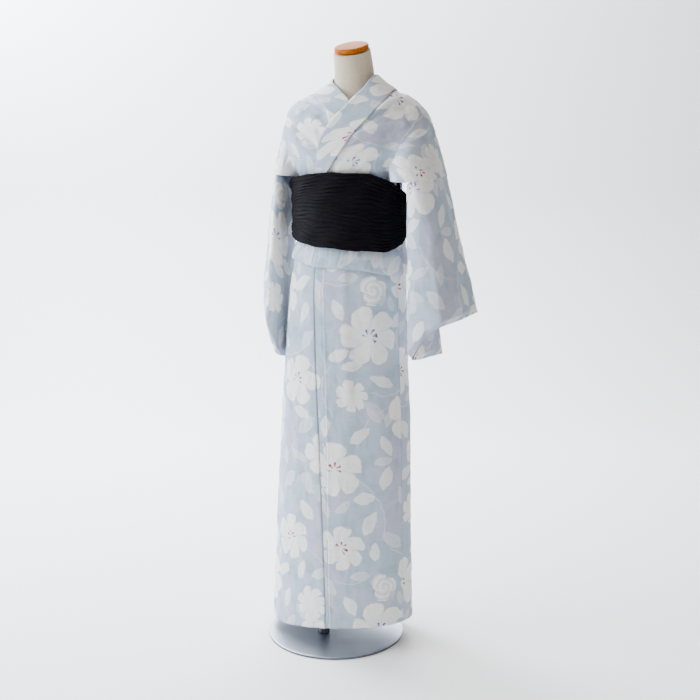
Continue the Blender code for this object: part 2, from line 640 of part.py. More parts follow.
def cylinder(name, radius, low, high, x, y, finish, collection, round_over=0.0, vertices=48):
    """Upright round bar or disc between two heights."""
    bpy.ops.mesh.primitive_cylinder_add(vertices=vertices, radius=radius, depth=high - low,
                                        location=(x, y, 0.5 * (low + high)))
    made = bpy.context.object
    made.name = name
    if round_over > 0.0:
        bevel = made.modifiers.new("rounding", "BEVEL")
        bevel.width = round_over
        bevel.segments = 2
        bevel.limit_method = "ANGLE"
    finish_primitive(made, finish, collection)
    return made


def build_stand(steel, collection):
    """Round base plate, the socket on it and the pole up to the form."""
    cylinder("base_disc", BASE_RADIUS, 0.0, BASE_THICKNESS, 0.0, 0.0, steel, collection,
             round_over=BASE_ROUNDING, vertices=64)
    cylinder("pole_socket", SOCKET_RADIUS, BASE_THICKNESS + SEAM_GAP, SOCKET_TOP_Z, POLE_X,
             POLE_Y, steel, collection, round_over=SOCKET_ROUNDING, vertices=20)
    cylinder("stand_pole", POLE_RADIUS, SOCKET_TOP_Z + SEAM_GAP, FORM_RINGS[0].z - SEAM_GAP,
             POLE_X, POLE_Y, steel, collection, vertices=24)


def main():
    """Clear the scene and build every sub-part."""
    for old in list(bpy.data.objects):
        bpy.data.objects.remove(old, do_unlink=True)
    collection = bpy.data.collections.new(COLLECTION_NAME)
    bpy.context.scene.collection.children.link(collection)
    cotton = material("printed_cotton", (0.48, 0.56, 0.64), 0.85)
    sash = material("black_crinkled_cotton", (0.012, 0.010, 0.014), 0.80)
    linen = material("linen_cover", (0.62, 0.57, 0.50), 0.90)
    wood = material("varnished_wood", (0.62, 0.25, 0.05), 0.35)
    steel = material("brushed_steel", (0.55, 0.56, 0.58), 0.30, 1.0)
    build_skirt(cotton, collection)
    build_tuck(cotton, collection)
    build_bodice(cotton, collection)
    build_sash(sash, collection)
    build_form(linen, wood, collection)
    build_stand(steel, collection)


main()
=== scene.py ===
"""Cotton yukata on a limbless dress form: cloth, sash, form, stand and studio.

The axes are those of the CAD nodes: the wearer faces -Y, the wearer's left is +X and +Z
is up. The origin is the centre of the underside of the round base. Lengths are metres.
"""
import logging
import math
from dataclasses import dataclass
from enum import Enum
from typing import Callable, NamedTuple

import bpy
import numpy as np
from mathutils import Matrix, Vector


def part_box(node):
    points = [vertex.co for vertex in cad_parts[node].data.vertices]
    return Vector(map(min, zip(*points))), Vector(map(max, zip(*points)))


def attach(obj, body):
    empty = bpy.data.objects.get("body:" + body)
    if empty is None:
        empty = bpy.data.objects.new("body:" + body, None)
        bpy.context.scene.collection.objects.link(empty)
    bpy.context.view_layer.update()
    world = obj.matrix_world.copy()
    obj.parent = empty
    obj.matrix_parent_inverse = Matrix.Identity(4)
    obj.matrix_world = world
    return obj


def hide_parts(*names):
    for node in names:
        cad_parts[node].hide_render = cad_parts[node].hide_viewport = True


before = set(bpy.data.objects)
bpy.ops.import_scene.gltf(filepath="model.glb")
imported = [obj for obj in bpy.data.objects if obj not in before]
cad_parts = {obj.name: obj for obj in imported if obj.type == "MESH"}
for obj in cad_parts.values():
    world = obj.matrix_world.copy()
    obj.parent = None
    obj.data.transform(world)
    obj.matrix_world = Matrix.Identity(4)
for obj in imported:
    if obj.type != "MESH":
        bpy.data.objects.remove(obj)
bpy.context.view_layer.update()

LOG = logging.getLogger("yukata")
ROOT = "root"
CLOTH_MAP = "cloth"       # name of the map that holds each panel's own grain, in metres

Array = np.ndarray
Socket = bpy.types.NodeSocket
Material = bpy.types.Material
Edge = Callable[[Array], Array]


class Side(Enum):
    """Side of the robe, as its wearer would name it."""

    LEFT = "left"
    RIGHT = "right"


class Held(Enum):
    """How a cloth piece is held."""

    HUNG = "hung"
    GATHERED = "gathered"
    FOLDED = "folded"


# ------------------------------------------------------------------ the cut, as tables
class Hem(NamedTuple):
    """Height of the skirt's lower edge at a plan angle."""

    angle: float
    z: float


class SashEdge(NamedTuple):
    """Heights of the sash's two edges at a plan angle."""

    angle: float
    top: float
    low: float


class TuckLevel(NamedTuple):
    """One level of the waist tuck's section, outside the body rings."""

    out: float
    z: float


class CollarLine(NamedTuple):
    """Where the collar's seam and free edge lie for a share of the way to the waist."""

    share: float
    seam_s: float
    edge_s: float
    edge_share: float


class Ring(NamedTuple):
    """Oval of the wrapped cloth at one height."""

    z: float
    centre_x: float
    half_width: float
    half_depth: float


class Column(NamedTuple):
    """Length line of a half bodice: fold point, two handles, plan angle at the waist."""

    s: float
    fold_x: float
    fold_y: float
    fold_z: float
    high_x: float
    high_y: float
    high_z: float
    low_x: float
    low_y: float
    low_z: float
    waist: float


class SleeveCorner(NamedTuple):
    """Point of a sleeve's lower edge, a share of the way from its outer fold inwards."""

    share: float
    x: float
    y: float
    z: float


class Turn(NamedTuple):
    """Oval of the form at one height."""

    z: float
    y: float
    half_width: float
    half_depth: float


class Crease(NamedTuple):
    """Soft ridge (height above 0) or trough between two points of a panel's own map."""

    u0: float
    v0: float
    u1: float
    v1: float
    width: float
    height: float


FIGURE = Vector((0.034, 0.017, 0.0))      # where the figure stands over the base
SEAM_GAP = 0.0003
CENTRE_GAP = 0.0006
COTTON_WALL = 0.0012      # cloth with its turned edges
COLLAR_WALL = 0.0021      # the collar is a band folded double
SASH_WALL = 0.0024
LAYER = 0.0034            # distance between two lapped layers
COLLAR_OUT = 0.0039
LAP_SHARE = 0.28
OVERLAP = {Side.LEFT: 0.0088, Side.RIGHT: 0.0}

SKIRT_TOP_Z = 1.060
TUCK_FOLD_Z = 0.959
TUCK_TOP_Z = 1.070
WAIST_Z = 1.078
TUCKED_IN_Z = 1.172
TUCKED_IN_SHARE = 0.80
BODICE_OUT = 0.0045

OKUMI_SEAM = 4.5          # plan angles in degrees, from the centre front to the left
OKUMI_SLANT = -23.0
OVER_EDGE = -78.0
SIDE_SEAM_LEFT = 77.0
SIDE_SEAM_RIGHT = -88.0
UNDER_SEAM = -6.0
UNDER_EDGE = 52.0
TUCK_SEAM = -19.0
TUCK_EDGE = -72.0

NECK_S = 0.108
ARMHOLE_S = 0.350
BACK_NECK_SHARE = 0.25
COLLAR_STAND = {
    Side.LEFT: (-0.0500, -0.010, 0.034), Side.RIGHT: (-0.0520, -0.014, 0.026),
}
NAPE_Y = 0.108
NAPE_Z = 1.414
COLLAR_LIES = 0.34        # share of the way down from which the collar lies on the front

SLEEVE_SEWN = 0.66        # share of a sleeve's layer that follows the armhole
SLEEVE_DEPTH = 0.50       # how far down the bodice that reaches, as a share
SLEEVE_LEAVES = 0.45      # share from which the top of the layer leaves the armhole
SLEEVE_UNDER = 0.0021     # how far its top is tucked behind the bodice
SLEEVE_RAISE = 0.0040     # how far its top stands above the armhole line
SLEEVE_EASE = 0.10        # how much sooner than straight it reaches its lower edge
SLEEVE_CLOSES = 0.93      # share of the way down from which its two layers close
SLEEVE_CLOSED = 0.80      # how nearly they meet at the lower edge

HEM = (
    Hem(-180.0, 0.052), Hem(-110.0, 0.030), Hem(-60.0, 0.025), Hem(-22.0, 0.042),
    Hem(0.0, 0.054), Hem(22.0, 0.062), Hem(60.0, 0.070), Hem(110.0, 0.064), Hem(180.0, 0.052),
)
SASH_EDGES = (
    SashEdge(-180.0, 1.112, 1.044), SashEdge(-100.0, 1.116, 1.040), SashEdge(-60.0, 1.162, 1.024),
    SashEdge(-30.0, 1.179, 1.014), SashEdge(0.0, 1.185, 1.010), SashEdge(36.0, 1.184, 1.002),
    SashEdge(56.0, 1.168, 1.003), SashEdge(78.0, 1.141, 1.018), SashEdge(100.0, 1.108, 1.045),
    SashEdge(180.0, 1.112, 1.044),
)
TUCK_SECTION = (
    TuckLevel(0.0104, TUCK_TOP_Z), TuckLevel(0.0106, 1.015), TuckLevel(0.0114, 0.985),
    TuckLevel(0.0112, TUCK_FOLD_Z + 0.005), TuckLevel(0.0096, TUCK_FOLD_Z),
    TuckLevel(0.0081, TUCK_FOLD_Z + 0.005), TuckLevel(0.0076, 0.985), TuckLevel(0.0074, 1.020),
)
COLLAR_LINES = {
    Side.LEFT: (
        CollarLine(0.00, 0.108, 0.056, 0.00), CollarLine(0.12, 0.101, 0.038, 0.08),
        CollarLine(0.24, 0.091, 0.027, 0.17), CollarLine(0.36, 0.078, 0.017, 0.29),
        CollarLine(0.48, 0.056, -0.004, 0.41), CollarLine(0.62, 0.031, -0.025, 0.56),
        CollarLine(0.72, 0.008, -0.030, 0.69), CollarLine(0.80, -0.010, -0.038, 0.80),
        CollarLine(1.00, -0.046, -0.072, 1.00),
    ),
    Side.RIGHT: (
        CollarLine(0.00, 0.108, 0.055, 0.00), CollarLine(0.10, 0.092, 0.040, 0.04),
        CollarLine(0.18, 0.070, 0.022, 0.11), CollarLine(0.27, 0.044, -0.001, 0.19),
        CollarLine(0.34, 0.026, -0.022, 0.25), CollarLine(0.48, 0.006, -0.046, 0.41),
        CollarLine(0.62, -0.010, -0.058, 0.57), CollarLine(0.80, -0.027, -0.067, 0.79),
        CollarLine(1.00, -0.046, -0.076, 1.00),
    ),
}
BODY_RINGS = (
    Ring(0.000, 0.0125, 0.1900, 0.1260), Ring(0.300, 0.0165, 0.1785, 0.1210),
    Ring(0.520, 0.0205, 0.1700, 0.1160), Ring(0.700, 0.0230, 0.1600, 0.1110),
    Ring(0.880, 0.0270, 0.1490, 0.1035), Ring(0.960, 0.0320, 0.1415, 0.0990),
    Ring(1.015, 0.0340, 0.1255, 0.0905), Ring(1.180, 0.0340, 0.1250, 0.0900),
    Ring(1.300, 0.0340, 0.1290, 0.0940),
)
CHEST = (
    Column(-0.090, -0.080, 0.048, 1.376, -0.085, -0.050, 1.350, -0.080, -0.110, 1.250, -38.0),
    Column(0.000, 0.000, 0.052, 1.394, 0.000, -0.045, 1.370, 0.000, -0.122, 1.260, -2.0),
    Column(0.108, 0.105, 0.047, 1.374, 0.106, -0.055, 1.346, 0.096, -0.106, 1.250, 40.0),
)
FRONT = {
    Side.LEFT: CHEST + (
        Column(0.180, 0.172, 0.046, 1.340, 0.174, -0.044, 1.314, 0.140, -0.080, 1.240, 60.0),
        Column(0.205, 0.188, 0.046, 1.318, 0.190, -0.048, 1.292, 0.150, -0.080, 1.230, 64.0),
        Column(0.235, 0.197, 0.047, 1.290, 0.212, -0.075, 1.272, 0.142, -0.100, 1.226, 68.0),
        Column(0.270, 0.208, 0.048, 1.256, 0.246, -0.110, 1.246, 0.132, -0.122, 1.222, 72.0),
        Column(0.350, 0.233, 0.052, 1.181, 0.315, -0.160, 1.170, 0.122, -0.142, 1.160, 80.0),
    ),
    Side.RIGHT: CHEST + (
        Column(0.180, 0.172, 0.046, 1.340, 0.164, -0.036, 1.314, 0.125, -0.085, 1.240, 60.0),
        Column(0.205, 0.186, 0.048, 1.318, 0.168, -0.034, 1.292, 0.126, -0.085, 1.230, 64.0),
        Column(0.235, 0.194, 0.050, 1.290, 0.172, -0.036, 1.270, 0.127, -0.088, 1.224, 68.0),
        Column(0.270, 0.203, 0.053, 1.256, 0.178, -0.040, 1.242, 0.130, -0.092, 1.216, 72.0),
        Column(0.350, 0.223, 0.060, 1.181, 0.192, -0.055, 1.175, 0.134, -0.102, 1.176, 80.0),
    ),
}
UPPER_BACK = (
    Column(0.000, 0.000, 0.052, 1.394, 0.000, 0.122, 1.376, 0.000, 0.134, 1.260, 180.0),
    Column(0.108, 0.105, 0.047, 1.374, 0.106, 0.118, 1.346, 0.104, 0.128, 1.250, 142.0),
    Column(0.180, 0.172, 0.046, 1.340, 0.174, 0.114, 1.314, 0.150, 0.118, 1.230, 120.0),
)
BACK = {
    Side.LEFT: UPPER_BACK + (
        Column(0.205, 0.188, 0.046, 1.318, 0.190, 0.112, 1.296, 0.156, 0.116, 1.220, 114.0),
        Column(0.235, 0.197, 0.047, 1.290, 0.199, 0.112, 1.270, 0.160, 0.114, 1.210, 109.0),
        Column(0.270, 0.208, 0.048, 1.256, 0.210, 0.116, 1.240, 0.166, 0.112, 1.200, 104.0),
        Column(0.350, 0.233, 0.052, 1.181, 0.222, 0.125, 1.170, 0.176, 0.105, 1.165, 92.0),
    ),
    Side.RIGHT: UPPER_BACK + (
        Column(0.205, 0.186, 0.048, 1.318, 0.190, 0.112, 1.296, 0.156, 0.116, 1.220, 114.0),
        Column(0.235, 0.194, 0.050, 1.290, 0.199, 0.112, 1.270, 0.160, 0.114, 1.210, 109.0),
        Column(0.270, 0.203, 0.053, 1.256, 0.208, 0.116, 1.240, 0.166, 0.112, 1.200, 104.0),
        Column(0.350, 0.223, 0.060, 1.181, 0.218, 0.125, 1.170, 0.176, 0.105, 1.165, 92.0),
    ),
}
SLEEVE_OUTER = {
    Side.LEFT: (
        SleeveCorner(0.00, 0.310, 0.079, 0.853), SleeveCorner(0.20, 0.306, -0.010, 0.846),
        SleeveCorner(0.38, 0.280, -0.084, 0.836), SleeveCorner(0.52, 0.228, -0.078, 0.796),
        SleeveCorner(0.66, 0.186, -0.056, 0.748), SleeveCorner(0.82, 0.188, 0.020, 0.742),
        SleeveCorner(1.00, 0.216, 0.090, 0.742),
    ),
    Side.RIGHT: (
        SleeveCorner(0.00, 0.290, 0.100, 0.880), SleeveCorner(0.20, 0.262, 0.040, 0.862),
        SleeveCorner(0.38, 0.219, -0.030, 0.830), SleeveCorner(0.52, 0.196, -0.056, 0.780),
        SleeveCorner(0.66, 0.176, -0.050, 0.735), SleeveCorner(0.82, 0.176, 0.020, 0.715),
        SleeveCorner(1.00, 0.200, 0.090, 0.715),
    ),
}
SLEEVE_INNER = {
    Side.LEFT: (
        SleeveCorner(0.00, 0.310, 0.079, 0.853), SleeveCorner(0.20, 0.286, 0.000, 0.846),
        SleeveCorner(0.38, 0.262, -0.058, 0.836), SleeveCorner(0.52, 0.228, -0.056, 0.796),
        SleeveCorner(0.66, 0.206, -0.034, 0.748), SleeveCorner(0.82, 0.210, 0.024, 0.742),
        SleeveCorner(1.00, 0.216, 0.090, 0.742),
    ),
    Side.RIGHT: (
        SleeveCorner(0.00, 0.290, 0.100, 0.880), SleeveCorner(0.20, 0.250, 0.056, 0.862),
        SleeveCorner(0.38, 0.216, 0.000, 0.830), SleeveCorner(0.52, 0.202, -0.026, 0.780),
        SleeveCorner(0.66, 0.194, -0.024, 0.735), SleeveCorner(0.82, 0.196, 0.024, 0.715),
        SleeveCorner(1.00, 0.200, 0.090, 0.715),
    ),
}
SLEEVE_INNER_TOP = (0.176, 0.062, 1.110)
BODICE_PRINT = {Side.LEFT: (0.02, 0.10), Side.RIGHT: (0.13, 0.21)}    # its place on the print
FORM_TURNS = (
    Turn(0.800, 0.000, 0.112, 0.076), Turn(0.830, 0.000, 0.120, 0.082),
    Turn(0.950, 0.000, 0.122, 0.082), Turn(1.080, 0.000, 0.112, 0.072),
    Turn(1.200, 0.002, 0.116, 0.078), Turn(1.280, 0.008, 0.126, 0.066),
    Turn(1.318, 0.012, 0.116, 0.052), Turn(1.342, 0.018, 0.082, 0.048),
    Turn(1.360, 0.022, 0.062, 0.0485), Turn(1.385, 0.024, 0.052, 0.0475),
    Turn(1.420, 0.020, 0.0475, 0.046), Turn(1.466, 0.007, 0.0440, 0.044),
)


# --------------------------------------------------------------------- small mathematics
def smooth(edge_a: float, edge_b: float, value: Array) -> Array:
    """S-curve from 0 at edge_a to 1 at edge_b.

    Args:
        edge_a: Value up to which the result is 0.
        edge_b: Value from which the result is 1.
        value: Where to read the curve.

    Returns:
        t * t * (3 - 2 t), t being the clipped share of the way from edge_a to edge_b.
    """
    t = np.clip((value - edge_a) / (edge_b - edge_a), 0.0, 1.0)
    return t * t * (3.0 - 2.0 * t)


def curve_through(keys: Array, values: Array, where: Array) -> Array:
    """Smooth curve through (key, value) pairs that never overshoots them.

    Args:
        keys: Rising keys.
        values: Value at each key.
        where: Where to read the curve.

    Returns:
        Cubic Hermite pieces, each inner slope the harmonic mean of its two chords, or
        level at a turning point.
    """
    keys = np.asarray(keys, float)
    values = np.asarray(values, float)
    chords = np.diff(values) / np.diff(keys)
    before, after = chords[:-1], chords[1:]
    same_way = before * after > 0.0
    total = np.where(same_way, before + after, 1.0)
    inner = np.where(same_way, 2.0 * before * after / total, 0.0)
    slopes = np.concatenate((chords[:1], inner, chords[-1:]))
    where = np.clip(where, keys[0], keys[-1])
    k = np.clip(np.searchsorted(keys, where, side="right") - 1, 0, len(keys) - 2)
    step = keys[k + 1] - keys[k]
    t = (where - keys[k]) / step
    rise = (2 * t - 3) * t * t
    return (values[k] * (rise + 1) + slopes[k] * step * t * (t - 1) ** 2
            - values[k + 1] * rise + slopes[k + 1] * step * t * t * (t - 1))


def read_table(rows: tuple, key: str, name: str, where: Array) -> Array:
    """Column `name` of a table, read smoothly at `where` along its column `key`."""
    keys = [getattr(row, key) for row in rows]
    return curve_through(keys, [getattr(row, name) for row in rows], where)


def around(rows: tuple, name: str, angle: Array) -> Array:
    """Column `name` of a table that goes once round by plan angle in degrees."""
    wrapped = (np.asarray(angle, float) + 180.0) % 360.0 - 180.0
    return read_table(rows, "angle", name, wrapped)


def stack(*parts: Array) -> Array:
    """Points from their coordinates, whatever the shapes of these."""
    return np.stack(np.broadcast_arrays(*parts), axis=-1)


def unit(vectors: Array) -> Array:
    """Vectors brought to length 1."""
    return vectors / np.maximum(np.linalg.norm(vectors, axis=-1, keepdims=True), 1e-9)


def away_from_figure(points: Array) -> Array:
    """Level unit vectors that point away from the figure's upright axis."""
    away = points - np.array(FIGURE)
    away[..., 2] = 0.0
    return unit(away)


def lengths_along(points: Array, axis: int) -> Array:
    """Length of the grid's lines from their start.

    Args:
        points: Grid of points, rows by columns by 3.
        axis: 0 to go down the columns, 1 to go along the rows.

    Returns:
        Running length at each point, in metres.
    """
    steps = np.linalg.norm(np.diff(points, axis=axis), axis=-1)
    start = np.zeros_like(np.take(steps, [0], axis=axis))
    return np.concatenate((start, np.cumsum(steps, axis=axis)), axis=axis)


def closed_round(points: Array) -> Array:
    """Grid with its first column repeated after its last, so that its rows close."""
    return np.concatenate((points, points[:, :1]), axis=1)


def full_turn(steps: int) -> Array:
    """Angles in radians that divide a whole turn evenly, starting at 0."""
    return np.linspace(0.0, 2.0 * math.pi, steps + 1)[:-1]


def even_shares(steps: int) -> Array:
    """Shares from 0 to 1 that divide a way into even steps."""
    return np.linspace(0.0, 1.0, steps + 1)


def seed_of(name: str) -> int:
    """Seed for the relief of a piece: the sum of its name's letter codes."""
    return sum(map(ord, name))


def surface_normals(points: Array, outward: Array) -> Array:
    """Normals of a grid surface: the cross product of its two directions.

    Args:
        points: Grid of points.
        outward: Rough outward vectors, which settle the normals' way out.

    Returns:
        Unit normals, turned as a whole so that most agree with `outward`.
    """
    normals = unit(np.cross(np.gradient(points, axis=1), np.gradient(points, axis=0)))
    return normals * np.sign(np.sum(normals * outward) + 1e-12)


def body_ring(angle: Array, z: Array, out: Array = 0.0) -> Array:
    """Point on the wrapped cloth.

    Args:
        angle: Plan angle in degrees.
        z: Height.
        out: Distance outside the rings.

    Returns:
        (centre + width sin angle, middle - depth cos angle, z), where width and depth come
        from the body rings and swell and shrink with the skirt's soft upright folds.
    """
    turn = np.radians(angle)
    reach = 1.0 - smooth(0.20, 0.95, z)
    wave = 0.6 * np.cos(5.0 * turn + 0.7) + 0.4 * np.cos(8.0 * turn - 1.1)
    swell = out + 0.0030 * wave * reach
    width = read_table(BODY_RINGS, "z", "half_width", z) + swell
    depth = read_table(BODY_RINGS, "z", "half_depth", z) + swell
    centre = read_table(BODY_RINGS, "z", "centre_x", z)
    return stack(centre + width * np.sin(turn), FIGURE.y - depth * np.cos(turn), z)


def hanging_point(columns: tuple, s: Array, share: Array, lap: Array = 0.0,
                  lift: float = 0.0) -> Array:
    """Point of a half bodice.

    Args:
        columns: Table of length lines.
        s: Distance along the shoulder fold from the centre back.
        share: 0 at that fold to 1 at the waist.
        lap: Distance away from the body, which fades out towards the fold.
        lift: Distance off the panel, which is upwards at the fold.

    Returns:
        A cubic Bezier curve of share from the fold to the top of the sash, then a
        straight drop down the body under the sash.
    """
    share = np.asarray(share)
    names = ("fold", "high", "low")
    fold, high, low = (
        stack(*(read_table(columns, "s", f"{name}_{axis}", s) for axis in "xyz")) for name in names
    )
    for handle in (fold, high, low):
        handle[..., 0] += FIGURE.x
    end = body_ring(read_table(columns, "s", "waist", s), np.full(np.shape(s), TUCKED_IN_Z), BODICE_OUT)
    t = np.minimum(share / TUCKED_IN_SHARE, 1.0)[..., None]
    point = (fold * (1 - t) ** 3 + 3 * high * t * (1 - t) ** 2
             + 3 * low * t * t * (1 - t) + end * t ** 3)
    under = np.maximum(share - TUCKED_IN_SHARE, 0.0) / (1.0 - TUCKED_IN_SHARE)
    point[..., 2] -= (TUCKED_IN_Z - WAIST_Z) * under
    away = away_from_figure(point)
    lower = smooth(0.0, 0.25, share)[..., None]
    off = unit(away * lower + np.array((0.0, 0.0, 1.0)) * (1.0 - lower))
    return point + away * lower * np.asarray(lap)[..., None] + off * lift


def front_edge(side: Side, share: Array) -> Array:
    """Inner edge of a front, where the collar is sewn, as a distance along the fold."""
    return read_table(COLLAR_LINES[side], "share", "seam_s", share)


def back_edge(share: Array) -> Array:
    """Inner edge of a back: a quarter of an oval round the neck, then the centre seam."""
    return NECK_S * np.sqrt(np.clip(1.0 - (share / BACK_NECK_SHARE) ** 2, 0.0, 1.0)) + SEAM_GAP


def placed(points: Array, side: Side) -> Array:
    """Points worked out for the wearer's left, mirrored for the right side."""
    if side is Side.RIGHT:
        points = points.copy()
        points[..., 0] = 2.0 * FIGURE.x - points[..., 0]
    return points


# ------------------------------------------------------------------- relief of the cloth
CRUMPLE_WAVES = 22
CRUMPLE_BEND = 1.3        # how far each wave is bent by the one before, in radians
CRUMPLE_FINER = 0.90      # length of each wave over that of the one before
CRUMPLE_SPREAD = 2.2      # about the height of the sum when the first wave's is 1


@dataclass(frozen=True)
class Relief:
    """Small shape of a cloth panel, measured on the panel's own map in metres.

    Attributes:
        seed: Picks the directions and starts of the crumples.
        crumple: Height of the crumples.
        grain: Length of the longest crumple.
        stretch: How much longer the crumples are along v than along u.
        creases: Ridges and troughs, listed one by one.
    """

    seed: int
    crumple: float = 0.0007
    grain: float = 0.085
    stretch: float = 2.2
    creases: tuple[Crease, ...] = ()

    def crumpled(self, u: Array, v: Array) -> Array:
        """Sum of sine waves, each bent by the one before and finer than it."""
        chance = np.random.default_rng(self.seed)
        total = np.zeros(np.broadcast(u, v).shape)
        bend = np.zeros_like(total)
        length = self.grain
        for _ in range(CRUMPLE_WAVES):
            way = chance.uniform(0.0, math.pi)
            start = chance.uniform(0.0, 2.0 * math.pi)
            across = u * math.cos(way) + v * math.sin(way) / self.stretch
            wave = np.sin(2.0 * math.pi * across / length + start + CRUMPLE_BEND * bend)
            total += wave * (length / self.grain) ** 0.9
            bend = wave
            length *= CRUMPLE_FINER
        return total * self.crumple / CRUMPLE_SPREAD

    def height(self, u: Array, v: Array) -> Array:
        """Height off the panel: the crumples and, for each crease, height times the bell
        curve of the distance from its line over its width."""
        total = self.crumpled(u, v)
        for crease in self.creases:
            line = np.array((crease.u1 - crease.u0, crease.v1 - crease.v0))
            along = ((u - crease.u0) * line[0] + (v - crease.v0) * line[1]) / (line @ line)
            along = np.clip(along, 0.0, 1.0)
            du = u - crease.u0 - along * line[0]
            dv = v - crease.v0 - along * line[1]
            total = total + crease.height * np.exp(-(du * du + dv * dv) / crease.width ** 2)
        return total


# ------------------------------------------------------------------- meshes and pieces
def grid_faces(rows: int, columns: int, wrap: bool) -> tuple[Array, Array]:
    """Quads over a grid of points.

    Args:
        rows: Rows of points.
        columns: Columns of points.
        wrap: Whether the last column joins the first.

    Returns:
        Vertex indices of the quads, and the same for a map that has its own last column.
    """
    width = columns + 1 if wrap else columns
    index = np.arange(rows)[:, None] * columns + np.arange(width)[None] % columns
    chart = np.arange(rows * width).reshape(rows, width)
    pick = (np.s_[:-1, :-1], np.s_[:-1, 1:], np.s_[1:, 1:], np.s_[1:, :-1])
    quads = np.stack([index[part] for part in pick], axis=-1).reshape(-1, 4)
    charted = np.stack([chart[part] for part in pick], axis=-1).reshape(-1, 4)
    return quads, charted


@dataclass
class Piece:
    """One finished piece of the visual model and the CAD nodes that it stands for.

    Attributes:
        name: Name of the piece.
        node: CAD node that it replaces.
        points: Grid of points, rows by columns by 3.
        chart: Grid of map coordinates, with one more column where the grid wraps.
        outward: Rough outward vectors, as one vector or a grid of them.
        wrap: Whether the grid closes round its columns.
        wall: Thickness of its wall, or 0 for a closed piece.
    """

    name: str
    node: str
    points: Array
    chart: Array
    outward: Array
    wrap: bool = False
    wall: float = 0.0

    def make(self, finish: Material, sharp: float = 0.0) -> bpy.types.Object:
        """Build the object, dress it, attach it to the root body and hide its CAD node.

        Args:
            finish: Its material.
            sharp: Angle in degrees past which its edges stay sharp, or 0 for none.

        Returns:
            The finished object.
        """
        rows, columns = self.points.shape[:2]
        quads, charted = grid_faces(rows, columns, self.wrap)
        if not self._faces_out():
            quads, charted = quads[:, ::-1], charted[:, ::-1]
        faces = quads.tolist()
        corners = self.chart.reshape(-1, 2)[charted.reshape(-1)]
        if self.wall == 0.0:
            ends = [list(range(columns)), list(range((rows - 1) * columns, rows * columns))]
            for ring, other in zip(ends, (faces[0], faces[(rows - 2) * columns])):
                faces.append(ring if self._runs_against(ring, other) else ring[::-1])
                corners = np.concatenate((corners, self.points.reshape(-1, 3)[faces[-1], :2]))
        mesh = bpy.data.meshes.new(self.name)
        mesh.from_pydata(self.points.reshape(-1, 3).tolist(), [], faces)
        chart = mesh.uv_layers.new(name=CLOTH_MAP)
        chart.data.foreach_set("uv", corners.astype(np.float32).reshape(-1))
        mesh.materials.append(finish)
        mesh.shade_smooth()
        if sharp:
            mesh.set_sharp_from_angle(angle=math.radians(sharp))
        mesh.update()
        made = bpy.data.objects.new(self.name, mesh)
        bpy.context.scene.collection.objects.link(made)
        if self.wall:
            shell = made.modifiers.new("wall", "SOLIDIFY")
            shell.thickness = self.wall
            shell.offset = 0.0
        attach(made, ROOT)
        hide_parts(self.node)
        LOG.info("%s: %d points", self.name, rows * columns)
        return made

    def _faces_out(self) -> bool:
        """Whether the grid's own quads already face outwards."""
        points = self.points
        right = points[:-1, 1:] - points[:-1, :-1]
        down = points[1:, :-1] - points[:-1, :-1]
        outward = np.broadcast_to(self.outward, points.shape)[:-1, :-1]
        return float(np.sum(np.cross(right, down) * outward)) > 0.0

    @staticmethod
    def _runs_against(ring: list[int], quad: list[int]) -> bool:
        """Whether a ring of points runs the other way from the quad that touches it."""
        return (ring[1], ring[0]) in zip(quad, quad[1:] + quad[:1])


def cloth_piece(name: str, points: Array, chart: Array, relief: Relief, fade: float = 0.012,
                wall: float = COTTON_WALL, wrap: bool = False,
                outward: Array | None = None, extra: Array | float = 0.0) -> Piece:
    """Cloth panel with its relief raised along its normals.

    Args:
        name: Name of its CAD node, which names the piece too.
        points: Grid of points of its plain shape.
        chart: Grid of its own map.
        relief: Its small shape.
        fade: Distance from its edges over which the relief dies out at the seams.
        wall: Thickness.
        wrap: Whether the grid closes round its columns.
        outward: Rough outward vectors, if not away from the figure.
        extra: More height off the panel that doesn't die out at the seams.

    Returns:
        The piece, ready to make.
    """
    outward = away_from_figure(points) if outward is None else outward
    normals = surface_normals(points, outward)
    flat = chart[:, :points.shape[1]]
    height = relief.height(flat[..., 0], flat[..., 1])
    if not wrap:
        along = lengths_along(points, 1)
        inside = np.minimum(along, along[:, -1:] - along)
        height = height * smooth(0.0, fade, inside)
    raised = points + normals * (height + extra)[..., None]
    return Piece(f"robe_{name}", name, raised, chart, outward, wrap, wall)


# --------------------------------------------------------------------------- the robe
class SkirtPanel(NamedTuple):
    """Panel of the skirt: its two edges by plan angle, its layer, its place on the cloth."""

    node: str
    start: Edge
    end: Edge
    out_start: float
    out_end: float
    map_u: float
    map_v: float
    flat: tuple[float, float]


class TuckPanel(NamedTuple):
    """Stretch of the waist tuck between two plan angles, and its place on the cloth."""

    node: str
    start: float
    end: float
    map_u: float
    flat: tuple[float, float]


def upright(angle: float) -> Edge:
    """Edge that keeps one plan angle all the way up."""
    return lambda z: angle + 0.0 * np.asarray(z)


def slanting(hem_angle: float) -> Edge:
    """Edge that turns towards the wearer's right, by the height to the power 1.5."""
    return lambda z: hem_angle + OKUMI_SLANT * (np.asarray(z) / TUCK_FOLD_Z) ** 1.5


def chart_from_low_angle(points: Array, angle: Array, map_u: float, map_v: float) -> Array:
    """Map of a panel that runs round the body.

    Args:
        points: Grid of points.
        angle: Plan angle of each point.
        map_u: Map coordinate of its edge with the lower angle.
        map_v: Added to the height.

    Returns:
        u, the length along the row from that edge, and v, the height.
    """
    along = lengths_along(points, 1)
    if float(np.mean(angle[:, -1] - angle[:, 0])) < 0.0:
        along = along[:, -1:] - along
    return stack(along + map_u, points[..., 2] + map_v)


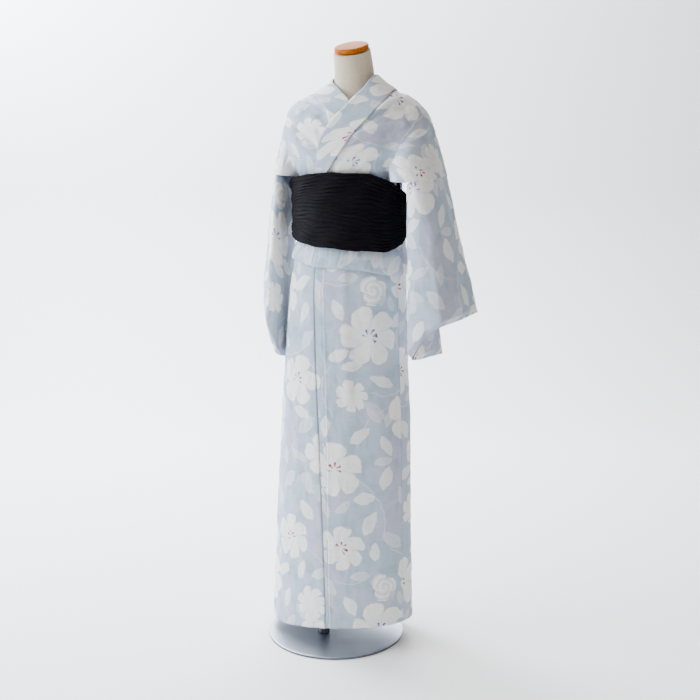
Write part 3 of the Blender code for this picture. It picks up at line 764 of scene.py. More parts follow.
@dataclass(frozen=True)
class Skirt:
    """Two backs, the under front with its okumi, and the over front with its okumi.

    Attributes:
        rows: Rows of quads from top to hem.
        spacing: Width of a quad in degrees of plan angle.
        hem_turn: Height of the turned hem.
        hem_raise: How far it stands out for its double thickness.
        step_width: Width over which a pressed edge steps up or down.
        strip_depth: Depth of the pressed strip beside the okumi seam.
        ridge_height: Height of the ridge outside its crease.
        trough_depth: Depth of the trough in its crease.
        groove_depth: Depth of the okumi seam.
        crowding: Power that crowds the over front's columns towards that seam.
    """

    rows: int = 220
    spacing: float = 1.15
    hem_turn: float = 0.020
    hem_raise: float = 0.0005
    step_width: float = 0.0012
    strip_depth: float = 0.0024
    ridge_height: float = 0.0011
    trough_depth: float = 0.0016
    groove_depth: float = 0.0009
    crowding: float = 1.7

    def panels(self) -> tuple[SkirtPanel, ...]:
        """The six panels, each a seam gap away from the next."""
        gap = 0.15
        return (
            SkirtPanel("skirt_back_left", upright(180.0 - gap), upright(SIDE_SEAM_LEFT + gap),
                       0.0, 0.0, 0.05, 0.30, (0.30, 1.01)),
            SkirtPanel("skirt_back_right", upright(-180.0 + gap), upright(SIDE_SEAM_RIGHT - gap),
                       0.0, 0.0, 0.12, 0.00, (0.30, 1.03)),
            SkirtPanel("skirt_front_right", upright(SIDE_SEAM_RIGHT + gap),
                       upright(UNDER_SEAM - gap), 0.0, 0.0, 0.03, 0.10, (0.25, 1.03)),
            SkirtPanel("okumi_right", upright(UNDER_SEAM + gap), upright(UNDER_EDGE),
                       0.0, 0.0, 0.10, 0.20, (0.16, 1.01)),
            SkirtPanel("skirt_front_left", upright(SIDE_SEAM_LEFT - gap),
                       slanting(OKUMI_SEAM + gap), 0.0, LAYER, 0.0, 0.0, (0.25, 1.01)),
            SkirtPanel("okumi_left", slanting(OKUMI_SEAM - gap), upright(OVER_EDGE),
                       LAYER, LAYER, 0.13, -0.08, (0.22, 1.02)),
        )

    def relief(self, node: str) -> Relief:
        """Creases of one panel, on its map."""
        creases = {
            "skirt_front_left": (
                Crease(0.075, 0.96, 0.085, 0.62, 0.012, 0.0016),
                Crease(0.105, 0.95, 0.120, 0.45, 0.016, -0.0018),
                Crease(0.150, 0.93, 0.170, 0.30, 0.018, 0.0016),
                Crease(0.060, 0.52, 0.075, 0.07, 0.020, 0.0016),
                Crease(0.125, 0.40, 0.140, 0.07, 0.020, -0.0016),
                Crease(0.205, 0.90, 0.215, 0.35, 0.014, -0.0016),
            ),
            "okumi_left": (
                Crease(0.170, 0.86, 0.215, 0.40, 0.014, 0.0013),
                Crease(0.215, 0.80, 0.235, 0.30, 0.014, -0.0012),
                Crease(0.190, 0.30, 0.200, -0.03, 0.018, 0.0014),
            ),
            "skirt_back_left": (
                Crease(0.110, 1.25, 0.120, 0.80, 0.014, 0.0018),
                Crease(0.170, 1.24, 0.190, 0.50, 0.016, -0.0018),
                Crease(0.250, 1.22, 0.245, 0.60, 0.015, 0.0016),
            ),
            "skirt_back_right": (
                Crease(0.190, 0.95, 0.205, 0.45, 0.014, -0.0018),
                Crease(0.260, 0.94, 0.250, 0.35, 0.016, 0.0018),
                Crease(0.320, 0.92, 0.330, 0.30, 0.013, -0.0016),
            ),
        }.get(node, ())
        plain = node in ("okumi_right", "skirt_front_right")
        return Relief(seed_of(node), 0.0003 if plain else 0.0009, creases=creases)

    def shape(self, panel: SkirtPanel) -> tuple[Array, Array]:
        """Points and plan angles of a panel.

        Args:
            panel: The panel.

        Returns:
            The body rings read on a grid whose columns run between the two edges and
            whose rows run from the top down to the hem; its layer changes across it.
        """
        columns = max(40, round(abs(float(panel.end(0.0)) - float(panel.start(0.0))) / self.spacing))
        across = even_shares(columns)
        if panel.node == "skirt_front_left":
            across = 1.0 - (1.0 - across) ** self.crowding
        down = even_shares(self.rows)[:, None]
        hem_angle = panel.start(0.0) + (panel.end(0.0) - panel.start(0.0)) * across
        z = SKIRT_TOP_Z + (around(HEM, "z", hem_angle) - SKIRT_TOP_Z) * down
        angle = panel.start(z) + (panel.end(z) - panel.start(z)) * across
        step = smooth(0.0, LAP_SHARE, across)
        out = panel.out_start + (panel.out_end - panel.out_start) * step
        return body_ring(angle, z, out), angle

    def seams(self, panel: SkirtPanel, points: Array) -> Array:
        """Height of what is sewn and pressed.

        Args:
            panel: The panel.
            points: Its grid of points.

        Returns:
            The hem, turned up double. On the over front there is also the strip that is
            pressed flat between the okumi seam and a crease, with a ridge outside the
            crease and a trough in it, and on the over okumi the seam's own groove.
        """
        above_hem = points[..., 2] - points[-1:, :, 2]
        turned_up = 1.0 - smooth(self.hem_turn - self.step_width, self.hem_turn, above_hem)
        height = self.hem_raise * turned_up
        along = lengths_along(points, 1)
        if panel.node == "okumi_left":
            return height - self.groove_depth * np.exp(-(along / 0.0022) ** 2)
        if panel.node != "skirt_front_left":
            return height
        z = points[..., 2]
        past_crease = along[:, -1:] - along - (0.010 + 0.015 * smooth(0.10, 0.75, z))
        in_strip = 1.0 - smooth(-self.step_width, self.step_width, past_crease)
        height = height - self.strip_depth * in_strip * (1.0 - 0.35 * smooth(0.80, 0.95, z))
        height = height + self.ridge_height * np.exp(-((past_crease - 0.003) / 0.0025) ** 2)
        return height - self.trough_depth * np.exp(-((past_crease + 0.0012) / 0.0014) ** 2)

    def build(self, cotton: Material) -> None:
        for panel in self.panels():
            points, angle = self.shape(panel)
            chart = chart_from_low_angle(points, angle, panel.map_u, panel.map_v)
            piece = cloth_piece(panel.node, points, chart, self.relief(panel.node),
                                extra=self.seams(panel, points))
            piece.make(cotton)


@dataclass(frozen=True)
class Tuck:
    """Waist tuck: the cloth hangs out below the sash, folds under and goes up inside.

    Attributes:
        steps: Rows of quads round the tuck's section.
        spacing: Width of a quad in degrees of plan angle.
        belly: How far it bulges above its lower fold.
    """

    steps: int = 56
    spacing: float = 1.1
    belly: float = 0.0034

    def panels(self) -> tuple[TuckPanel, ...]:
        """The five stretches, each a seam gap away from the next."""
        gap = 0.2
        return (
            TuckPanel("tuck_back_left", 180.0 - gap, SIDE_SEAM_LEFT + gap, 0.05, (0.27, 0.19)),
            TuckPanel("tuck_back_right", -180.0 + gap, SIDE_SEAM_RIGHT - gap, 0.12, (0.23, 0.165)),
            TuckPanel("tuck_front_right", SIDE_SEAM_RIGHT + gap, TUCK_EDGE - gap, 0.0, (0.033, 0.16)),
            TuckPanel("tuck_front_left", SIDE_SEAM_LEFT - gap, TUCK_SEAM + gap, 0.14, (0.24, 0.21)),
            TuckPanel("tuck_okumi_left", TUCK_SEAM - gap, TUCK_EDGE + gap, 0.20, (0.11, 0.20)),
        )

    def shape(self, panel: TuckPanel) -> tuple[Array, Array, Array]:
        """Points, plan angles and running length down the section of a stretch.

        Args:
            panel: The stretch.

        Returns:
            The body rings moved out by the tuck's section: down outside, a rounded fold,
            and up inside. Its lower fold lies 17 mm lower at the left and 21 mm higher at
            the right, and waves by 1.2 mm.
        """
        columns = max(16, round(abs(panel.end - panel.start) / self.spacing))
        angle = np.linspace(panel.start, panel.end, columns + 1)
        level = np.linspace(0.0, len(TUCK_SECTION) - 1.0, self.steps + 1)
        key = np.arange(len(TUCK_SECTION))
        z = curve_through(key, [row.z for row in TUCK_SECTION], level)[:, None]
        out = curve_through(key, [row.out for row in TUCK_SECTION], level)[:, None]
        turn = np.radians(angle)
        drop = 0.002 - 0.019 * np.sin(turn) * np.abs(np.sin(turn))
        drop = drop + 0.0012 * np.sin(7.0 * turn + 0.8) * np.cos(3.0 * turn)
        z = z + drop * (1.0 - smooth(0.98, 1.03, z))
        ripple = 0.0011 * np.sin(13.0 * turn + 2.0 * np.sin(4.0 * turn))
        out = out + ripple * smooth(0.940, 1.03, z)
        belly = self.belly * np.exp(-((level[:, None] - 2.6) / 1.2) ** 2)
        out = out + belly * (1.0 + 0.5 * np.sin(5.0 * turn + 1.0))
        points = body_ring(np.broadcast_to(angle, z.shape), z, out)
        return points, np.broadcast_to(angle, z.shape), lengths_along(points, 0)

    def build(self, cotton: Material) -> None:
        for panel in self.panels():
            points, angle, down = self.shape(panel)
            chart = chart_from_low_angle(points, angle, panel.map_u, 0.0)
            chart[..., 1] = TUCK_TOP_Z + 0.10 - down
            relief = Relief(seed_of(panel.node), 0.0010, 0.050)
            piece = cloth_piece(panel.node, points, chart, relief, fade=0.006)
            piece.make(cotton)


@dataclass(frozen=True)
class Bodice:
    """Half bodice of one side, with its sleeve and its half of the collar.

    Attributes:
        side: Which side.
        rows: Rows of quads from the shoulder fold to the waist.
        columns: Columns of quads from the inner edge to the sleeve.
        sleeve_rows: Rows of quads down the sleeve.
        sleeve_steps: Columns of quads across one of its layers.
    """

    side: Side
    rows: int = 90
    columns: int = 104
    sleeve_rows: int = 96
    sleeve_steps: int = 72

    def creases(self) -> tuple[Crease, ...]:
        """Folds of the front and back: u along the shoulder fold, v down from it."""
        if self.side is Side.LEFT:
            return (
                Crease(0.150, -0.055, 0.060, -0.265, 0.011, -0.0050),
                Crease(0.185, -0.090, 0.095, -0.285, 0.010, 0.0050),
                Crease(0.200, -0.140, 0.130, -0.300, 0.009, -0.0045),
                Crease(0.120, -0.030, 0.085, -0.180, 0.012, 0.0038),
                Crease(0.235, -0.020, 0.250, -0.180, 0.007, 0.0045),
                Crease(0.300, -0.020, 0.290, -0.150, 0.010, -0.0025),
                Crease(0.120, 0.080, 0.060, 0.260, 0.014, 0.0030),
                Crease(0.190, 0.060, 0.120, 0.280, 0.012, -0.0030),
                Crease(0.250, 0.050, 0.200, 0.260, 0.011, 0.0030),
            )
        return (
            Crease(0.140, -0.050, 0.055, -0.250, 0.011, -0.0035),
            Crease(0.175, -0.080, 0.095, -0.280, 0.010, 0.0032),
            Crease(0.220, -0.040, 0.190, -0.260, 0.010, -0.0026),
            Crease(0.120, -0.030, 0.080, -0.150, 0.012, 0.0024),
            Crease(0.115, 0.080, 0.070, 0.260, 0.014, 0.0030),
            Crease(0.180, 0.060, 0.130, 0.280, 0.012, -0.0030),
            Crease(0.245, 0.050, 0.190, 0.260, 0.011, 0.0030),
        )

    def build_panel(self, cotton: Material) -> None:
        """Make one length of cloth over the shoulder: front waist, fold, back waist. Its
        columns run from the neck and collar seam to the sleeve seam."""
        share_front = np.linspace(1.0, 0.0, self.rows + 1)[:, None]
        share_back = even_shares(self.rows)[1:, None]
        across = even_shares(self.columns)
        inner = front_edge(self.side, share_front)
        s_front = inner + (ARMHOLE_S - inner) * across
        s_back = back_edge(share_back) + (ARMHOLE_S - back_edge(share_back)) * across
        lap = OVERLAP[self.side] * (1.0 - smooth(0.09, 0.18, s_front))
        front = hanging_point(FRONT[self.side], s_front, np.broadcast_to(share_front, s_front.shape), lap)
        back = hanging_point(BACK[self.side], s_back, np.broadcast_to(share_back, s_back.shape))
        points = placed(np.concatenate((front, back), axis=0), self.side)
        run = lengths_along(points, 0)
        along = lengths_along(points, 1)
        chart = stack(ARMHOLE_S - (along[:, -1:] - along), run - run[self.rows])
        relief = Relief(17 if self.side is Side.LEFT else 41, 0.0010, 0.070, 1.5, self.creases())
        piece = cloth_piece(f"bodice_{self.side.value}", points, chart, relief)
        mirror = -1.0 if self.side is Side.RIGHT else 1.0
        piece.chart = chart * np.array((mirror, 1.0)) + np.array(BODICE_PRINT[self.side])
        piece.make(cotton)

    def sleeve_layer(self, columns: tuple, corners: tuple) -> Array:
        """One layer of the sleeve.

        Args:
            columns: Length lines of the bodice that it is sewn to.
            corners: Points of its lower edge.

        Returns:
            A grid from the armhole line, along which it is sewn and then left open
            beside the body, down to the lower edge: the straight way between the two,
            eased by SLEEVE_EASE sin(pi down).
        """
        share = even_shares(self.sleeve_steps)
        along = np.clip(share / SLEEVE_SEWN, 0.0, 1.0) * SLEEVE_DEPTH
        top = hanging_point(columns, np.full(share.shape, ARMHOLE_S), along)
        leave = smooth(SLEEVE_LEAVES, 1.0, share)[:, None]
        top = top * (1.0 - leave) + (np.array(SLEEVE_INNER_TOP) + (FIGURE.x, 0.0, 0.0)) * leave
        top = top - away_from_figure(top) * SLEEVE_UNDER * (1.0 - leave)
        top[:, 2] += SLEEVE_RAISE
        low = stack(*(read_table(corners, "share", axis, share) for axis in "xyz"))
        low[..., 0] += FIGURE.x
        down = even_shares(self.sleeve_rows)[:, None, None]
        ease = down + SLEEVE_EASE * np.sin(math.pi * down)
        return top[None] * (1.0 - ease) + low[None] * ease

    def build_sleeve(self, cotton: Material) -> None:
        """Make the sleeve: a flattened tube whose two layers are sewn at the lower edge."""
        outer = self.sleeve_layer(FRONT[self.side], SLEEVE_OUTER[self.side])
        inner = self.sleeve_layer(BACK[self.side], SLEEVE_INNER[self.side])
        middle = 0.5 * (outer + inner)
        down = even_shares(self.sleeve_rows)[:, None, None]
        sewn = SLEEVE_CLOSED * smooth(SLEEVE_CLOSES, 1.0, down)
        outer = outer + (middle - outer) * sewn
        inner = inner + (middle - inner) * sewn
        points = placed(np.concatenate((outer, inner[:, -2:0:-1]), axis=1), self.side)
        around_tube = closed_round(points)
        along = lengths_along(around_tube, 1)
        run = lengths_along(around_tube, 0)
        chart = stack(along + 0.06, 0.62 - run)
        if self.side is Side.RIGHT:
            chart = stack(0.30 - along, 0.95 - run)
        outward = points - points.mean(axis=1, keepdims=True)
        relief = Relief(5 if self.side is Side.LEFT else 23, 0.0012, 0.080, 2.4, self.sleeve_creases())
        name = f"sleeve_{self.side.value}"
        piece = cloth_piece(name, points, chart, relief, wrap=True, outward=outward)
        piece.make(cotton)

    def sleeve_creases(self) -> tuple[Crease, ...]:
        """Long folds that fall from the seam, on the sleeve's map."""
        if self.side is Side.LEFT:
            return (
                Crease(0.140, 0.60, 0.150, 0.32, 0.010, 0.0028),
                Crease(0.180, 0.61, 0.185, 0.36, 0.009, -0.0026),
                Crease(0.100, 0.58, 0.100, 0.36, 0.010, -0.0022),
            )
        return (
            Crease(0.250, 0.92, 0.240, 0.66, 0.010, 0.0024),
            Crease(0.200, 0.93, 0.200, 0.70, 0.009, -0.0024),
        )

    def build_collar(self, cotton: Material) -> None:
        """Make the collar band: from the centre back round the neck and down the front,
        straight across between its seam and its free edge, its wall as thick as the band folded double."""
        share = even_shares(self.rows)
        lap = OVERLAP[self.side] * np.ones_like(share)
        columns = FRONT[self.side]
        lines = COLLAR_LINES[self.side]
        seam = hanging_point(columns, front_edge(self.side, share), share, lap, COLLAR_OUT)
        edge = hanging_point(columns, read_table(lines, "share", "edge_s", share),
                             read_table(lines, "share", "edge_share", share), lap, COLLAR_OUT)
        standing = seam + np.array(COLLAR_STAND[self.side])
        lie = smooth(0.0, COLLAR_LIES, share)[:, None]
        edge = edge * lie + standing * (1.0 - lie)
        turn = even_shares(48)[:-1] * math.pi / 2.0
        back_share = BACK_NECK_SHARE * np.cos(turn)
        nape_seam = hanging_point(BACK[self.side], back_edge(back_share), back_share, 0.0 * turn,
                                  COLLAR_OUT)
        nape_seam[0, 0] = FIGURE.x + CENTRE_GAP
        x = FIGURE.x + (edge[0, 0] - FIGURE.x) * np.sin(turn)
        x[0] += CENTRE_GAP
        nape_edge = stack(x, edge[0, 1] + (NAPE_Y - edge[0, 1]) * np.cos(turn),
                          edge[0, 2] + (NAPE_Z - edge[0, 2]) * np.cos(turn) ** 2)
        seam = np.concatenate((nape_seam, seam))
        edge = np.concatenate((nape_edge, edge))
        across = even_shares(16)[:, None, None]
        points = placed(seam * (1.0 - across) + edge * across, self.side)
        chart = stack(lengths_along(points, 0) + 0.05, 0.60 - lengths_along(points, 1))
        relief = Relief(3 if self.side is Side.LEFT else 8, 0.0004, 0.045, 1.0)
        piece = cloth_piece(f"collar_{self.side.value}", points, chart, relief,
                            fade=0.010, wall=COLLAR_WALL)
        piece.make(cotton)

    def build(self, cotton: Material) -> None:
        """Make the side's three pieces."""
        self.build_panel(cotton)
        self.build_sleeve(cotton)
        self.build_collar(cotton)


# --------------------------------------------------------------------------- the sash
@dataclass(frozen=True)
class Sash:
    """Wide crinkled sash, wrapped in gathers that run round the waist, and its knot.

    Attributes:
        out: Distance of its wall outside the body rings.
        gathers: How many gathers lie between its two edges.
        depth: Height of a gather.
        top_flare: How far its top edge stands away from the chest.
        columns: Columns of quads all round.
        rows: Rows of quads from edge to edge.
    """

    out: float = 0.0234
    gathers: float = 18.0
    depth: float = 0.0040
    top_flare: float = 0.0045
    columns: int = 330
    rows: int = 120

    def gather(self, turn: Array, share: Array) -> Array:
        """Height of the gathers: |sin| of a phase that counts them from edge to edge and
        wanders round the waist, rounded on top and sharp between, uneven in strength."""
        wander = (0.50 * np.sin(2.0 * turn + 5.0 * share) + 0.26 * np.sin(4.0 * turn - 9.0 * share + 1.0)
                  + 0.12 * np.sin(9.0 * turn + 14.0 * share + 2.0))
        phase = math.pi * (self.gathers * share + wander)
        ridge = 1.0 - (1.0 - np.abs(np.sin(phase))) ** 1.7
        strength = 0.62 + 0.38 * np.sin(3.0 * turn + 17.0 * share + 0.5) * np.sin(7.0 * turn - 8.0 * share)
        fine = 0.16 * np.sin(2.3 * phase + 9.0 * turn) + 0.10 * np.sin(4.1 * phase - 15.0 * turn)
        return self.depth * (ridge * strength + fine - 0.45)

    def build_band(self, crinkled: Material) -> None:
        """Make the band: the body rings moved out by the gathers and by the top's flare."""
        angle = np.linspace(0.0, 360.0, self.columns + 1)[:-1]
        share = even_shares(self.rows)[:, None]
        top = around(SASH_EDGES, "top", angle)
        low = around(SASH_EDGES, "low", angle)
        turn = np.radians(angle)
        top = top + 0.0016 * np.sin(9.0 * turn + 1.0) * np.cos(4.0 * turn)
        low = low + 0.0024 * np.sin(8.0 * turn) * np.cos(3.0 * turn + 1.0)
        z = top + (low - top) * share
        flare = self.top_flare * (1.0 - smooth(0.0, 0.14, share))
        out = self.out + self.gather(turn, share) + flare
        points = body_ring(np.broadcast_to(angle, z.shape), z, out)
        closed = closed_round(points)
        chart = stack(lengths_along(closed, 1), closed[..., 2])
        piece = Piece("sash_band_gathered", "sash_band", points, chart, away_from_figure(points),
                      wrap=True, wall=SASH_WALL)
        piece.make(crinkled)

    def build_knot(self, crinkled: Material) -> None:
        """Make the knot at the back: an ellipsoid pinched at its waist, with gathers that
        run over it from side to side."""
        low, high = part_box("sash_knot")
        middle = 0.5 * (np.array(low) + np.array(high))
        half = 0.5 * (np.array(high) - np.array(low))
        tilt = np.linspace(0.03, math.pi - 0.03, 73)[:, None]
        turn = full_turn(96)
        folds = 0.07 * (np.abs(np.sin(4.5 * turn + 0.6 * np.sin(3.0 * tilt))) - 0.8)
        pinch = 1.0 - 0.22 * np.exp(-((tilt - math.pi / 2.0) / 0.35) ** 2)
        reach = np.sin(tilt) ** 0.85 * pinch * (1.0 + folds)
        points = middle + half * stack(-np.cos(tilt) * 0.97, reach * np.cos(turn), reach * np.sin(turn))
        closed = closed_round(points)
        chart = stack(lengths_along(closed, 1), lengths_along(closed, 0))
        piece = Piece("sash_knot_tied", "sash_knot", points, chart, points - middle, wrap=True)
        piece.make(crinkled)


# ---------------------------------------------------------------- the form and stand
def turned(profile: tuple[tuple[float, float], ...], centre: tuple[float, float],
           steps: int, lean: float = 0.0) -> Array:
    """Turned shape.

    Args:
        profile: (radius, height) pairs from the lower centre out and up.
        centre: Where its axis stands.
        steps: Points round it.
        lean: Rise over run of a whole tilt towards +Y.

    Returns:
        Grid whose rows are circles of the profile's radii, tilted about their middle.
    """
    turn = full_turn(steps)
    radius = np.array([pair[0] for pair in profile])[:, None]
    height = np.array([pair[1] for pair in profile])[:, None]
    middle = 0.5 * (float(height.min()) + float(height.max()))
    slope = math.atan(lean)
    flat_y = radius * np.sin(turn)
    rise = height - middle + 0.0 * turn
    y = flat_y * math.cos(slope) - rise * math.sin(slope)
    z = flat_y * math.sin(slope) + rise * math.cos(slope)
    return stack(centre[0] + radius * np.cos(turn), centre[1] + y, middle + z)


def rounded_disc(radius: float, low: float, high: float, rounding: float) -> tuple:
    """Profile of a disc whose two rims are quarter circles of the radius `rounding`."""
    turns = np.linspace(0.0, math.pi / 2.0, 7)
    inner = radius - rounding
    lower = [(inner + rounding * math.sin(t), low + rounding * (1.0 - math.cos(t))) for t in turns]
    upper = [(r, low + high - z) for r, z in reversed(lower)]
    shares = (0.02, 0.35, 0.7, 0.95)
    flat_low = [(inner * share, low) for share in shares]
    flat_high = [(inner * share, high) for share in reversed(shares)]
    return tuple(flat_low + lower + upper + flat_high)


@dataclass(frozen=True)
class DressForm:
    """Linen-covered torso with a bare neck, and the wooden cap on the neck.

    Attributes:
        lean: Rise over run of the neck's top.
        lean_from: Height above which the neck starts to lean.
        cap_radius: Radius of the cap.
        cap_thickness: Thickness of the cap.
        rows: Rings of points up the torso.
        steps: Points round a ring.
    """

    lean: float = 0.34
    lean_from: float = 1.40
    cap_radius: float = 0.0415
    cap_thickness: float = 0.012
    rows: int = 150
    steps: int = 120

    def build_torso(self, linen: Material) -> None:
        """Make the torso: ovals read smoothly between the form's levels, the neck's top
        leaning forward, closed by a flat face at each end."""
        turn = full_turn(self.steps)
        level = np.linspace(FORM_TURNS[0].z, FORM_TURNS[-1].z, self.rows + 1)[:, None]
        centre_y = FIGURE.y + read_table(FORM_TURNS, "z", "y", level)
        forward = read_table(FORM_TURNS, "z", "half_depth", level) * np.cos(turn)
        y = centre_y - forward
        z = level - self.lean * smooth(self.lean_from, FORM_TURNS[-1].z, level) * forward
        x = FIGURE.x + read_table(FORM_TURNS, "z", "half_width", level) * np.sin(turn)
        points = stack(x, y, z)
        closed = closed_round(points)
        chart = stack(lengths_along(closed, 1), closed[..., 2])
        Piece("form_torso_linen", "form_torso", points, chart, away_from_figure(points),
              wrap=True).make(linen, sharp=50.0)

    def build_cap(self, wood: Material) -> None:
        """Make the cap: a rounded disc, its top slightly crowned, on the leaning neck."""
        low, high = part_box("neck_cap")
        centre = 0.5 * (low + high)
        half = 0.5 * self.cap_thickness
        profile = list(rounded_disc(self.cap_radius, centre.z - half, centre.z + half, 0.004))
        crown = [(r, z + 0.0012 * (1.0 - (r / self.cap_radius) ** 2) * (z > centre.z)) for r, z in profile]
        points = turned(tuple(crown), (centre.x, centre.y), 96, self.lean)
        closed = closed_round(points)
        Piece("neck_cap_turned", "neck_cap", points, closed[..., :2], points - np.array(centre),
              wrap=True).make(wood, sharp=50.0)

    def build(self, linen: Material, wood: Material) -> None:
        """Make both pieces."""
        self.build_torso(linen)
        self.build_cap(wood)


@dataclass(frozen=True)
class Stand:
    """Round base plate, the socket on it and the pole up to the form.

    Attributes:
        rounding: Radius of the base plate's rims.
        steps: Points round the base plate.
    """

    rounding: float = 0.0012
    steps: int = 160

    def build(self, steel: Material) -> None:
        """Make the three turned pieces in the boxes of their CAD nodes."""
        for node, steps, rounding in (("base_disc", self.steps, self.rounding),
                                      ("pole_socket", 64, 0.0012), ("stand_pole", 48, 0.0006)):
            low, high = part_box(node)
            centre = 0.5 * (low + high)
            radius = 0.5 * (high.x - low.x)
            points = turned(rounded_disc(radius, low.z, high.z, rounding), (centre.x, centre.y), steps)
            closed = closed_round(points)
            Piece(f"{node}_turned", node, points, closed[..., :2], points - np.array(centre),
                  wrap=True).make(steel, sharp=50.0)


# ------------------------------------------------------------------------- finishes
SOFT = {"interpolation_type": "SMOOTHSTEP"}      # settings of a soft-edged map range
COLOURS = {"data_type": "RGBA", "out": 2}        # settings and output of a mix of colours


def linear(colour: str) -> tuple[float, float, float, float]:
    """Linear RGBA of an sRGB hex colour, by the standard sRGB curve."""
    parts = [int(colour[i:i + 2], 16) / 255.0 for i in (1, 3, 5)]
    return (*[c / 12.92 if c <= 0.04045 else ((c + 0.055) / 1.055) ** 2.4 for c in parts], 1.0)


class Wiring:
    """Node tree of one material."""

    def __init__(self, name: str) -> None:
        """Start a material that has only its Principled shader.

        Args:
            name: Name of the material.
        """
        self.made = bpy.data.materials.new(name)
        self.made.use_nodes = True
        self.tree = self.made.node_tree
        self.shader = self.tree.nodes["Principled BSDF"]

    def add(self, kind: str, *values: object, out: int = 0, **settings: object) -> Socket:
        """Add a node.

        Args:
            kind: Node type without its ShaderNode prefix.
            *values: Its inputs in order, each a socket to link, a value, or None to skip. A
                dict names inputs by their name or place instead.
            out: Which output is wanted.
            **settings: Properties of the node.

        Returns:
            The wanted output.
        """
        node = self.tree.nodes.new("ShaderNode" + kind)
        for name, value in settings.items():
            setattr(node, name, value)
        for place, value in enumerate(values):
            for key, item in (value.items() if isinstance(value, dict) else ((place, value),)):
                if isinstance(item, Socket):
                    self.tree.links.new(item, node.inputs[key])
                elif item is not None:
                    node.inputs[key].default_value = item
        return node.outputs[out]

    def finish(self, links: dict[str, Socket], **values: float) -> Material:
        """Link and set the shader's own inputs.

        Args:
            links: Socket for each linked input.
            **values: Constant for each other input, its spaces written as underscores.

        Returns:
            The finished material.
        """
        for name, socket in links.items():
            self.tree.links.new(socket, self.shader.inputs[name])
        for name, value in values.items():
            self.shader.inputs[name.replace("_", " ")].default_value = value
        return self.made


class Ink(Enum):
    """What a flower of the print has at its centre."""

    CRIMSON = 0.0
    PURPLE = 1.0
    PLAIN = 2.0


class Flower(NamedTuple):
    """Flower of the repeat: its centre, radius, turn in degrees, petals and centre."""

    u: float
    v: float
    radius: float
    turn: float
    petals: int
    ink: Ink


class Leaf(NamedTuple):
    """Leaf of the repeat: its centre, half its length, its turn in degrees, its breadth."""

    u: float
    v: float
    half: float
    turn: float
    breadth: float


class Stem(NamedTuple):
    """Stem of the repeat: the middle of its arc, which way that faces, its bend radius and
    half its length."""

    u: float
    v: float
    facing: float
    bend: float
    half: float


